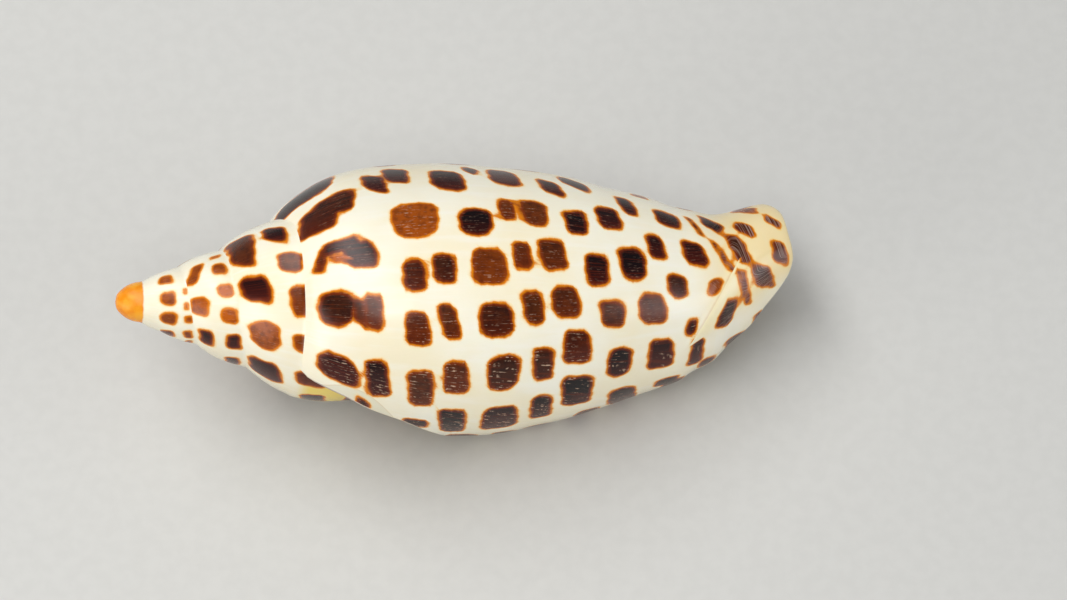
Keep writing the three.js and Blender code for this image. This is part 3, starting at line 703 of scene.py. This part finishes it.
def look_up(seen, whorl, x, y):
    """Along and angle under a pixel: the mean of the four nearest points of that whorl."""
    turned = seen[np.abs(seen[:, 3] + TURN * whorl) < WHORL_IN_VIEW]
    distance = np.hypot(turned[:, 0] - x, turned[:, 1] - y)
    nearest = np.argpartition(distance, 4)[:4]
    weight = 1 / (distance[nearest] + PIXEL_BLUR) ** 2
    return (turned[nearest, 2:] * weight[:, None]).sum(0) / weight.sum()


def picture_steps(along, angle):
    """How a step on the surface shows in the picture, both in millimetres, as a 2 by 2 matrix.

    The columns are a step along the axis and a step round it. The rows are right and down.
    """
    steeper = float((outside_radius(along + 1, angle) - outside_radius(along - 1, angle))[0]) / 2
    sideways = float(canal_sideways(along + 1) - canal_sideways(along - 1)) / 2
    turn, tilt = np.radians(angle), np.radians(VIEW_TILT)
    right = (np.cos(tilt) + steeper * np.cos(turn) * np.sin(tilt), -np.sin(turn) * np.sin(tilt))
    down = (sideways + steeper * np.sin(turn), max(np.cos(turn), LEAST_FACING))
    return np.array([right, down])


def seen_spots(surface, laid, view):
    """The photograph's spots on the shell: centre, half lengths, lean, slope and paleness."""
    seen = seen_places(surface, laid, view)
    scale = VIEW_WIDTH / PICTURE_WIDTH
    least, most = -STEEPEST_SPOT, STEEPEST_SPOT
    spots = []
    for whorl, table in SEEN_SPOTS.items():
        for spot in table:
            x, y, width, height, lean, slope, amber = spot + (0,) * (SPOT_NUMBERS - len(spot))
            along, angle = look_up(seen, whorl, x, y)
            _, upper = look_up(seen, whorl, x - lean * height / 2, y - height / 2)
            _, lower = look_up(seen, whorl, x + lean * height / 2, y + height / 2)
            radius = float(outside_radius(along, angle)[0])
            steps = picture_steps(along, angle)
            edge = np.linalg.solve(steps, (1, slope))
            side = np.linalg.solve(steps, (lean, 1))
            half_along = edge[0] * width * scale / 2
            half_round = np.radians(lower - upper) * radius / 2
            steep = abs(slope) >= STEEP_SLOPE
            middle = angle if steep else (upper + lower) / 2
            turned = angle + TURN * whorl
            if abs(turned) > LIMB_ANGLE and half_round < half_along * LEAST_LIMB_HEIGHT:
                half_round = half_along * LEAST_LIMB_HEIGHT
                grown = np.degrees(half_round / radius)
                middle = upper + grown if turned > 0 else lower - grown
            if steep:
                half_round = height * scale / 2 / steps[1, 1]
            leaning, sloping = np.clip((side[0] / side[1], edge[1] / edge[0]), least, most)
            half_round = max(half_round, LEAST_HALF)
            spots.append((along, middle, half_along, half_round, leaning, sloping, amber, radius))
    return spots


def hidden_spots():
    """Spots of the hidden sides: rows at a share of the whorl's width, each a little out of place."""
    random = np.random.default_rng(RANDOM_SEED)
    spots = []
    for whorl, share, length, round_length, step, first, last in HIDDEN_ROWS:
        for turned in np.arange(first, last, step):
            angle = -turned - TURN * whorl + random.uniform(-HIDDEN_TURN_JITTER, HIDDEN_TURN_JITTER) * step
            top = float(suture_along(angle))
            bottom = float(suture_along(angle + TURN)) if whorl else float(rim(angle))
            along = mix(top, bottom, share + random.uniform(-HIDDEN_ROW_JITTER, HIDDEN_ROW_JITTER))
            size = random.uniform(*HIDDEN_SIZES, 2) / 2
            lean, slope = random.uniform(*HIDDEN_LEANS), random.uniform(*HIDDEN_SLOPES)
            amber = random.choice(HIDDEN_AMBERS, p=HIDDEN_AMBER_CHANCES) + AMBER_BY_WHORL * whorl
            radius = float(outside_radius(along, angle)[0])
            halves = (length * size[0], round_length * size[1])
            spots.append((along, angle, *halves, lean, slope, amber, radius))
    for along, angle, length, round_length in LIP_SIDE_SPOTS:
        radius = float(outside_radius(along, angle)[0])
        spots.append((along, angle, length / 2, round_length / 2, *LIP_SIDE_LOOK, radius))
    return spots


def spot_fields(along, angle, spots):
    """Distance in millimetres from the nearest spot's edge, below 0 inside, and that spot's look.

    A spot is a rectangle with rounded corners in the surface, sheared by its lean and its slope:
    with p the distance past the inner corner, its edge is where |p| equals the corner's radius.
    Two sine waves make it uneven, and it narrows towards one end by its own share. Its drop runs
    from -1 at its upper edge in the picture to 1 at its lower edge.
    """
    nearest = np.full(along.shape, SPOT_REACH)
    amber, mark, drop = (np.zeros(along.shape) for _ in range(3))
    for number, (middle, turn, half_along, half_round, lean, slope, pale, radius) in enumerate(spots):
        across = along - middle
        close = (np.abs(across) < half_along + SPOT_REACH) & (np.abs(angle - turn) < SPOT_REACH_ANGLE)
        if not close.any():
            continue
        s, t = across[close], np.radians(angle[close] - turn) * radius
        own = (number * GOLDEN_SHARE) % 1.0
        height = (t - slope * s) / half_round
        taper = 1 + SPOT_TAPER * (own * 2 - 1) * np.clip(height, -1, 1)
        u, v = np.abs(s - lean * t) / taper, np.abs(t - slope * s)
        corner = mix(*SPOT_ROUNDNESS, (own * 7) % 1.0) * min(half_along, half_round)
        p, q = u - (half_along - corner), v - (half_round - corner)
        distance = np.hypot(np.maximum(p, 0), np.maximum(q, 0)) + np.minimum(np.maximum(p, q), 0) - corner
        uneven = sum(np.sin(a * s + b * t + turns * TAU * own) for a, b, turns in SPOT_WAVES)
        distance = distance + SPOT_UNEVENNESS * uneven * min(1.0, min(half_along, half_round) / EVENER_SPOT)
        old = nearest[close]
        blend = np.maximum(SPOT_MERGE - np.abs(old - distance), 0) / SPOT_MERGE
        closer = distance < old
        nearest[close] = np.minimum(old, distance) - blend * blend * SPOT_MERGE / 4
        amber[close] = np.where(closer, pale, amber[close])
        mark[close] = np.where(closer, own, mark[close])
        drop[close] = np.where(closer, np.clip(height, -1, 1), drop[close])
    return nearest, amber, mark, drop


def growth_place(along, angle):
    """Place across the growth lines in millimetres: they run down the shell, and by its rim round it."""
    by_lip = ramp(angle, *LINES_NEAR_LIP)
    at_rim = LINES_BEND * np.maximum(along - LINES_TURN[0], 0) * (1 - LINES_LIP_BEND * by_lip)
    at_lip = LIP_BEND * np.maximum(along - LIP_BEND_START, 0) * ramp(angle, *LIP_BEND_ANGLES)
    radius = mix(*LINES_RADIUS, ramp(along, *LINES_TURN) * (1 - by_lip))
    return np.radians(angle) * radius - at_rim - at_lip


def grid_fields(grid, spots):
    """What the finish reads at one grid's places: spots, growth lines, apex, inside, layers and tints."""
    along, angle, inside = grid["along"], grid["angle"], grid["inside"]
    distance, amber, mark, drop = spot_fields(along, angle, spots)
    layer = between(angle, LEDGE_BEGINS, LEDGE_ENDS)
    lip = lip_line(along)
    margin_start, margin_end = MARGIN_STRETCH
    margin_share = np.clip((along - margin_start) / (margin_end - margin_start), 0, 1)
    margin_width = MARGIN_WIDTH * np.sin(np.pi * margin_share)
    less_worn = 1 - LEAST_WEAR * ramp(along, *WEAR_FADES)
    shaded = inside * ramp(angle, lip - SHADE_DEPTH, lip - SHADE_EDGE)
    return {
        "spot": distance, "amber": amber, "mark": mark, "drop": drop,
        "worn": mix(*WEAR, ramp(angle, *WEAR_ANGLES) * less_worn) * ramp(along, *WEAR_STARTS),
        "across": growth_place(along, angle), "along": along, "inside": inside, "layer": layer,
        "past": ledge_distance(along, angle),
        "bare": mix(*LAYER_BAND, ramp(angle, *LAYER_WIDENS)) * ramp(layer, *LAYER_STARTS),
        "margin": np.where(angle > 0, np.radians(angle - lip + margin_width) * MARGIN_RADIUS, -SPOT_REACH),
        # painted yellow glow of the shaded whorl under the upper lip
        "stain": between(angle, *LIP_GLOW_ANGLES) * ramp(along, *LIP_GLOW_STARTS),
        "shade": shaded * between(along, *SHADE_STRETCH),
        "tint": ramp(along, *TINT_STARTS) * between(angle, *TINT_ANGLES),
    }


def surface_fields(surface, spots):
    """The fields of all three grids, joined."""
    parts = [(grid["along"].shape, grid_fields(grid, spots)) for grid in surface.grids]
    return {
        name: np.concatenate([np.broadcast_to(fields[name], shape).ravel() for shape, fields in parts])
        for name in parts[0][1]
    }


def linear(red, green, blue):
    """A screen colour from 0 to 255 as linear light, the form that shader sockets take."""
    screen = np.array([red, green, blue]) / 255.0
    light = np.where(screen <= 0.04045, screen / 12.92, ((screen + 0.055) / 1.055) ** 2.4)
    return (*(float(part) for part in light), 1.0)


class NodeBench:
    """Short names for making and joining the nodes of one material."""

    def __init__(self, material):
        self.tree = material.node_tree
        self.nodes = self.tree.nodes

    def put(self, socket, value):
        """Joins a socket to an output, or sets it to a plain value."""
        if isinstance(value, bpy.types.NodeSocket):
            self.tree.links.new(value, socket)
        else:
            socket.default_value = value

    def math(self, operation, *values):
        """One Math node; clamped where the operation's name ends in a plus."""
        node = self.nodes.new("ShaderNodeMath")
        node.operation = operation.rstrip("+")
        node.use_clamp = operation.endswith("+")
        for socket, value in zip(node.inputs, values):
            self.put(socket, value)
        return node.outputs[0]

    def smooth(self, value, low, high, to_low=0.0, to_high=1.0):
        """A smooth step of a value between low and high."""
        node = self.nodes.new("ShaderNodeMapRange")
        node.interpolation_type = "SMOOTHSTEP"
        for name, given in zip(("Value", "From Min", "From Max", "To Min", "To Max"),
                               (value, low, high, to_low, to_high)):
            self.put(node.inputs[name], given)
        return node.outputs["Result"]

    def times(self, *values):
        """The values' product."""
        product = values[0]
        for value in values[1:]:
            product = self.math("MULTIPLY", product, value)
        return product

    def stir(self, value, noise, amount):
        """A value moved either way by noise of that amount."""
        return self.math("MULTIPLY_ADD", self.math("SUBTRACT", noise, 0.5), amount, value)

    def between(self, value, rise, fall):
        """1 past the first stretch and short of the second."""
        return self.times(self.smooth(value, *rise), self.smooth(value, *fall, 1.0, 0.0))

    def blend(self, share, first, second):
        """Colour between two colours."""
        node = self.nodes.new("ShaderNodeMix")
        node.data_type = "RGBA"
        for name, given in (("Factor", share), ("A", first), ("B", second)):
            self.put(node.inputs[name], given)
        return node.outputs["Result"]

    def attribute(self, name):
        """A number that the mesh carries for each face corner."""
        node = self.nodes.new("ShaderNodeAttribute")
        node.attribute_name = name
        return node.outputs["Fac"]

    def noise(self, vector, scale, detail=2.0):
        """Noise from 0 to 1 about 0.5."""
        node = self.nodes.new("ShaderNodeTexNoise")
        for name, given in (("Vector", vector), ("Scale", scale), ("Detail", detail)):
            self.put(node.inputs[name], given)
        return node.outputs["Fac"]

    def join(self, x, y):
        """A vector from two numbers."""
        node = self.nodes.new("ShaderNodeCombineXYZ")
        self.put(node.inputs["X"], x)
        self.put(node.inputs["Y"], y)
        return node.outputs["Vector"]


EDGE_NOISE = (0.2, 0.12, 0.12)  # millimetres that each noise moves a spot's edge
APEX_EDGE = (4.15, 4.45)  # millimetres down the axis where the amber ends
ENAMEL = {
    "IOR": 1.5,
    "Specular IOR Level": 0.3,
    "Coat Weight": 0.05,
    "Coat Roughness": 0.1,
    "Subsurface Weight": 0.05,
    "Subsurface Radius": (1.0, 0.6, 0.3),
    "Subsurface Scale": 0.0006,
}


def spot_edge(bench, spot, noises):
    """Distance from a spot's ragged edge. Under the overlapping layer the spots are lifted out of it."""
    for noise, amount in zip(noises, EDGE_NOISE):
        spot = bench.stir(spot, noise, amount)
    past, bare, layer = (bench.attribute(name) for name in ("past", "bare", "layer"))
    covered = bench.times(bench.smooth(past, -0.02, 0.04), bench.smooth(layer, 0.15, 0.25))
    lifted = bench.math("MAXIMUM", spot, bench.math("SUBTRACT", bare, past))
    return bench.math("MULTIPLY_ADD", covered, bench.math("SUBTRACT", lifted, spot), spot)


def ground_colour(bench, settings, cloud, band, hair):
    """Cream between the spots, with its clouds, tints, seams, painted shade at the ledge's foot, a painted
    yellow glow under the upper lip and faint growth lines.
    """
    smooth, blend, times = bench.smooth, bench.blend, bench.times
    past, layer, margin, tint, stain = (
        bench.attribute(name) for name in ("past", "layer", "margin", "tint", "stain"))
    ground = blend(smooth(cloud, 0.35, 0.65), settings["ground"], settings["warm_ground"])
    ground = blend(times(smooth(band, 0.45, 0.75), 0.35), ground, settings["cool_ground"])
    ground = blend(times(tint, 0.8), ground, settings["tint"])
    ground = blend(smooth(margin, -0.05, 0.1, 0.0, 0.5), ground, settings["margin"])
    # Seams: a real line at the last growth's edge, and at the ledge's foot a thin line that is partly the
    # orange line there and partly painted shade of the step.
    edge_line = bench.between(margin, (-0.15, 0.0), (0.0, 0.2))
    foot_line_and_shade = times(bench.between(past, (-0.7, -0.1), (-0.08, 0.04)), layer)
    over = bench.between(past, (-0.05, 0.1), (1.8, 4.5))
    ground = blend(times(over, layer), ground, settings["layer"])
    seams_and_foot_shade = bench.math("MULTIPLY_ADD", edge_line, 0.35, times(foot_line_and_shade, 0.35))
    ground = blend(seams_and_foot_shade, ground, settings["seam"])
    # Painted light: a yellow glow on the shaded whorl under the upper lip.
    ground = blend(times(stain, 0.85), ground, settings["stain"])
    return blend(times(smooth(hair, 0.56, 0.75), 0.1), ground, settings["line"])


def shell_material(settings):
    """Polished enamel: cream ground, ragged brown spots with orange rims, amber apex, growth lines."""
    material = bpy.data.materials.new("Polished Junonia Enamel")
    material.use_nodes = True
    bench = NodeBench(material)
    smooth, blend, times, noise = bench.smooth, bench.blend, bench.times, bench.noise
    surface = bench.nodes["Principled BSDF"]
    where = bench.nodes.new("ShaderNodeTexCoord").outputs["Object"]
    spot, amber, mark, drop, worn, across, along = (
        bench.attribute(name) for name in ("spot", "amber", "mark", "drop", "worn", "across", "along"))

    def lines(fineness, length_share, detail=2.0):
        """Noise drawn out along the growth lines."""
        return noise(bench.join(times(across, fineness), times(along, length_share)), 1.0, detail)

    cloud = noise(where, 60, 3)
    fine = noise(where, 900, 2)
    streak = lines(5.5, 0.3, 3)
    hair = lines(11.0, 0.8)
    edge = spot_edge(bench, spot, (fine, noise(where, 3200, 2), streak))
    ground = ground_colour(bench, settings, cloud, lines(0.9, 0.08), hair)

    inner = smooth(edge, -0.46, -0.06, 1.0, 0.0)
    tone = bench.math("ADD", times(cloud, 0.3), times(mark, 0.35))
    tone = bench.math("MULTIPLY_ADD", drop, 0.26, tone)
    core = blend(smooth(tone, 0.1, 0.65), settings["dark"], settings["deep"])
    core = blend(times(smooth(lines(3.4, 0.1), 0.5, 0.68), 0.3), core, settings["brown"])
    mottled = bench.math("MULTIPLY+", amber, smooth(fine, 0.3, 0.6, 0.85, 1.5))
    core = blend(mottled, core, settings["amber"])
    brown = blend(mottled, settings["brown"], settings["amber"])
    colour = blend(times(smooth(edge, 0.02, 0.46, 1.0, 0.0), 0.6), ground, settings["halo"])
    colour = blend(smooth(edge, -0.08, 0.17, 1.0, 0.0), colour, settings["rim"])
    colour = blend(inner, colour, brown)
    colour = blend(smooth(edge, -1.0, -0.3, 1.0, 0.0), colour, core)

    flecks = times(smooth(streak, 0.53, 0.68), smooth(lines(3.0, 1.5), 0.44, 0.62))
    flecks = times(flecks, bench.math("MULTIPLY_ADD", amber, 0.6, worn))
    flecks = bench.math("MULTIPLY+", flecks, inner)
    colour = blend(flecks, colour, settings["fleck"])
    canal = times(smooth(lines(3.0, 0.1), 0.46, 0.68), smooth(along, 96.0, 100.0))
    colour = blend(times(canal, inner, 0.6), colour, settings["lilac"])

    colour = blend(times(bench.attribute("inside"), 0.93), colour, settings["inside"])
    colour = blend(times(bench.attribute("shade"), 0.6), colour, settings["shade"])
    tip = blend(smooth(noise(where, 500, 3), 0.35, 0.7), settings["tip"], settings["tip_pale"])
    colour = blend(smooth(bench.stir(along, fine, 0.25), *APEX_EDGE, 1.0, 0.0), colour, tip)

    bench.put(surface.inputs["Base Color"], colour)
    rough = bench.math("ADD", smooth(cloud, 0.3, 0.7, 0.16, 0.22), times(flecks, 0.3))
    bench.put(surface.inputs["Roughness"], rough)
    for name, value in ENAMEL.items():
        surface.inputs[name].default_value = value
    bump = bench.nodes.new("ShaderNodeBump")
    bench.put(bump.inputs["Height"], bench.math("ADD", times(streak, 0.6), times(hair, 0.3)))
    bump.inputs["Strength"].default_value = 0.35
    bump.inputs["Distance"].default_value = 0.00008
    bench.put(surface.inputs["Normal"], bump.outputs["Normal"])
    return material


def floor_material(colour):
    """Matt pale paper with a faint grain."""
    material = bpy.data.materials.new("Pale Floor")
    material.use_nodes = True
    bench = NodeBench(material)
    surface = bench.nodes["Principled BSDF"]
    where = bench.nodes.new("ShaderNodeTexCoord").outputs["Object"]
    grain = bench.smooth(bench.noise(where, 400, 3), 0.3, 0.7)
    darker = tuple(part * 0.97 for part in colour[:3]) + (1.0,)
    bench.put(surface.inputs["Base Color"], bench.blend(grain, tuple(colour), darker))
    surface.inputs["Roughness"].default_value = 0.8
    surface.inputs["Specular IOR Level"].default_value = 0.2
    return material


def make_mesh(name, points, faces, fields, corners):
    """A smooth mesh in metres that keeps only the points that its faces use, with its corner values."""
    used, faces = np.unique(faces, return_inverse=True)
    faces = faces.reshape(-1, 3)
    mesh = bpy.data.meshes.new(name)
    mesh.from_pydata((points[used] * MM).tolist(), [], faces.tolist())
    mesh.shade_smooth()
    for field, values in fields.items():
        attribute = mesh.attributes.new(field, "FLOAT", "CORNER")
        attribute.data.foreach_set("value", values[corners].ravel().astype(np.float32))
    mesh.validate()
    mesh.update()
    return mesh


def add_object(name, data):
    """A new object at the origin of the scene."""
    item = bpy.data.objects.new(name, data)
    bpy.context.scene.collection.objects.link(item)
    return item


def colour_property(name, description, default):
    """A colour that a user would change, given as a screen colour."""
    return bpy.props.FloatVectorProperty(
        name=name, description=description, default=linear(*default), size=4, subtype="COLOR", min=0, max=1)


class ShellColours(bpy.types.PropertyGroup):
    """Colours of the shell's enamel."""

    ground: colour_property("Ground", "Cream white between the spots", (247, 243, 225))
    warm_ground: colour_property("Warm ground", "Warmer clouds in the ground", (245, 235, 205))
    cool_ground: colour_property("Cool ground", "Whiter bands along the growth lines", (249, 247, 238))
    line: colour_property("Growth line", "Faint lines in the ground", (226, 212, 178))
    tint: colour_property("Canal tint", "Warm tint near the siphonal end", (243, 219, 160))
    margin: colour_property("Lip margin", "Duller last growth by the outer lip", (214, 209, 184))
    layer: colour_property("Layer", "Bare enamel that overlaps near the siphonal end", (248, 236, 196))
    # Seam: a real line at the last growth's edge, and painted shade along the ledge's foot.
    seam: colour_property("Seam", "Edges of the overlapping layer and of the last growth", (206, 170, 112))
    # Painted light: the yellow glow of the shaded whorl under the upper lip.
    stain: colour_property("Stain", "Yellow stain under the upper lip", (246, 214, 66))
    shade: colour_property("Shade", "Mauve stretch of the upper lip's inner edge", (140, 110, 124))
    inside: colour_property("Inside", "Enamel inside the aperture", (244, 228, 200))
    halo: colour_property("Halo", "Yellow stain round a spot", (250, 208, 110))
    rim: colour_property("Rim", "Orange edge of a spot", (222, 128, 12))
    brown: colour_property("Brown", "Band inside a spot's edge", (112, 36, 0))
    dark: colour_property("Dark", "Darkest middle of a spot", (10, 0, 2))
    deep: colour_property("Deep", "Redder middle of a spot", (62, 8, 0))
    amber: colour_property("Amber", "Pale spots of the spire", (184, 88, 6))
    fleck: colour_property("Fleck", "Worn flecks in a spot", (212, 178, 150))
    lilac: colour_property("Lilac", "Growth lines that show in the last spots", (186, 160, 146))
    tip: colour_property("Tip", "Amber of the apex", (240, 142, 14))
    tip_pale: colour_property("Pale tip", "Paler clouds of the apex", (250, 172, 44))


class StageSizes(bpy.types.PropertyGroup):
    """The floor and the lights."""

    floor_size: bpy.props.FloatProperty(
        name="Floor size", description="Side of the square floor", default=3.0, unit="LENGTH")
    floor_colour: colour_property("Floor colour", "Pale floor", (208, 208, 205))
    key_power: bpy.props.FloatProperty(
        name="Main light", description="Power of the long soft box over the shell", default=7.0, unit="POWER")
    fill_power: bpy.props.FloatProperty(
        name="Fill light", description="Power of each side light", default=2.8, unit="POWER")


class JUNONIA_OT_shell(bpy.types.Operator):
    """Make the shell's fine surface with its markings, in place of the plain solid."""

    bl_idname = "junonia.shell"
    bl_label = "Add Shell"

    def execute(self, context):
        surface = ShellSurface()
        laid, move = lay_down(surface.points)
        view = View(move)
        spots = hidden_spots() + seen_spots(surface, laid, view)
        faces, corners = surface.triangles()
        laid[:, 2] = np.maximum(laid[:, 2], 0.0)
        mesh = make_mesh("Junonia Shell", laid, faces, surface_fields(surface, spots), corners)
        piece = add_object("junonia_shell", mesh)
        colours = context.scene.junonia_colours
        settings = {name: tuple(getattr(colours, name)) for name in ShellColours.__annotations__}
        mesh.materials.append(shell_material(settings))
        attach(piece, "root")
        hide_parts("shell")
        return {"FINISHED"}


SHELL_MIDDLE = (0.0, 0.0, 0.02)
WORLD_COLOUR = (236, 238, 242)
WORLD_STRENGTH = 0.26
# Each light's name, place, target and size in metres, the setting that holds its power, and its colour.
LIGHTS = [
    ("soft_box", (-0.22, -0.04, 0.75), (-0.12, 0.0, 0.0), (1.45, 0.3), "key_power", (1.0, 0.99, 0.97)),
    ("left_fill", (-0.8, -0.55, 0.25), SHELL_MIDDLE, (0.5, 0.5), "fill_power", (1.0, 0.98, 0.95)),
    ("right_fill", (0.9, -0.25, 0.2), SHELL_MIDDLE, (0.5, 0.5), "fill_power", (0.97, 0.98, 1.0)),
]


def soft_box(name, place, target, size, power, colour):
    """A rectangular light that faces a target."""
    lamp = bpy.data.lights.new(name, "AREA")
    lamp.shape = "RECTANGLE"
    lamp.size, lamp.size_y = size
    lamp.energy = power
    lamp.color = colour
    item = add_object(name, lamp)
    item.location = place
    item.rotation_euler = (Vector(target) - Vector(place)).to_track_quat("-Z", "Y").to_euler()


class JUNONIA_OT_stage(bpy.types.Operator):
    """Make the pale floor, the soft lights and the camera at the photograph's angle."""

    bl_idname = "junonia.stage"
    bl_label = "Add Stage"

    def execute(self, context):
        sizes = context.scene.junonia_stage
        half = sizes.floor_size / 2
        mesh = bpy.data.meshes.new("Floor")
        corners = [(-half, -half, 0), (half, -half, 0), (half, half, 0), (-half, half, 0)]
        mesh.from_pydata(corners, [], [(0, 1, 2, 3)])
        mesh.materials.append(floor_material(tuple(sizes.floor_colour)))
        floor = add_object("floor", mesh)
        for name, place, target, size, setting, colour in LIGHTS:
            soft_box(name, place, target, size, getattr(sizes, setting), colour)
        world = bpy.data.worlds.new("Studio")
        world.use_nodes = True
        backdrop = world.node_tree.nodes["Background"]
        backdrop.inputs["Color"].default_value = linear(*WORLD_COLOUR)
        backdrop.inputs["Strength"].default_value = WORLD_STRENGTH
        context.scene.world = world
        context.scene.view_settings.view_transform = "Standard"
        return {"FINISHED"}


class JUNONIA_OT_camera(bpy.types.Operator):
    """Place the camera at the photograph's viewing angle."""

    bl_idname = "junonia.camera"
    bl_label = "Add Camera"

    def execute(self, context):
        _, move = lay_down(ShellSurface().points)
        view = View(move)
        lens = bpy.data.cameras.new("Camera")
        lens.lens = LENS
        lens.sensor_width = SENSOR
        camera = add_object("camera", lens)
        turn = Matrix(view.axes.tolist()).to_4x4()
        camera.matrix_world = Matrix.Translation(Vector(view.place * MM)) @ turn
        context.scene.camera = camera
        return {"FINISHED"}


class JUNONIA_PT_panel(bpy.types.Panel):
    """The shell's tools in the sidebar."""

    bl_label = "Junonia Shell"
    bl_idname = "JUNONIA_PT_panel"
    bl_space_type = "VIEW_3D"
    bl_region_type = "UI"
    bl_category = "Shell"

    def draw(self, context):
        for group in (context.scene.junonia_colours, context.scene.junonia_stage):
            box = self.layout.box()
            for name in type(group).__annotations__:
                box.prop(group, name)
        for operator in OPERATORS:
            self.layout.operator(operator.bl_idname)


OPERATORS = (JUNONIA_OT_shell, JUNONIA_OT_camera, JUNONIA_OT_stage)
CLASSES = (ShellColours, StageSizes, *OPERATORS, JUNONIA_PT_panel)


def register():
    """Registers the classes and their settings."""
    for item in CLASSES:
        bpy.utils.register_class(item)
    bpy.types.Scene.junonia_colours = bpy.props.PointerProperty(type=ShellColours)
    bpy.types.Scene.junonia_stage = bpy.props.PointerProperty(type=StageSizes)


def unregister():
    """Takes them away again."""
    del bpy.types.Scene.junonia_stage
    del bpy.types.Scene.junonia_colours
    for item in reversed(CLASSES):
        bpy.utils.unregister_class(item)


def main():
    """Makes the camera, the shell and the stage."""
    register()
    bpy.ops.junonia.camera()
    bpy.ops.junonia.shell()
    bpy.ops.junonia.stage()


if __name__ == "__main__":
    main()
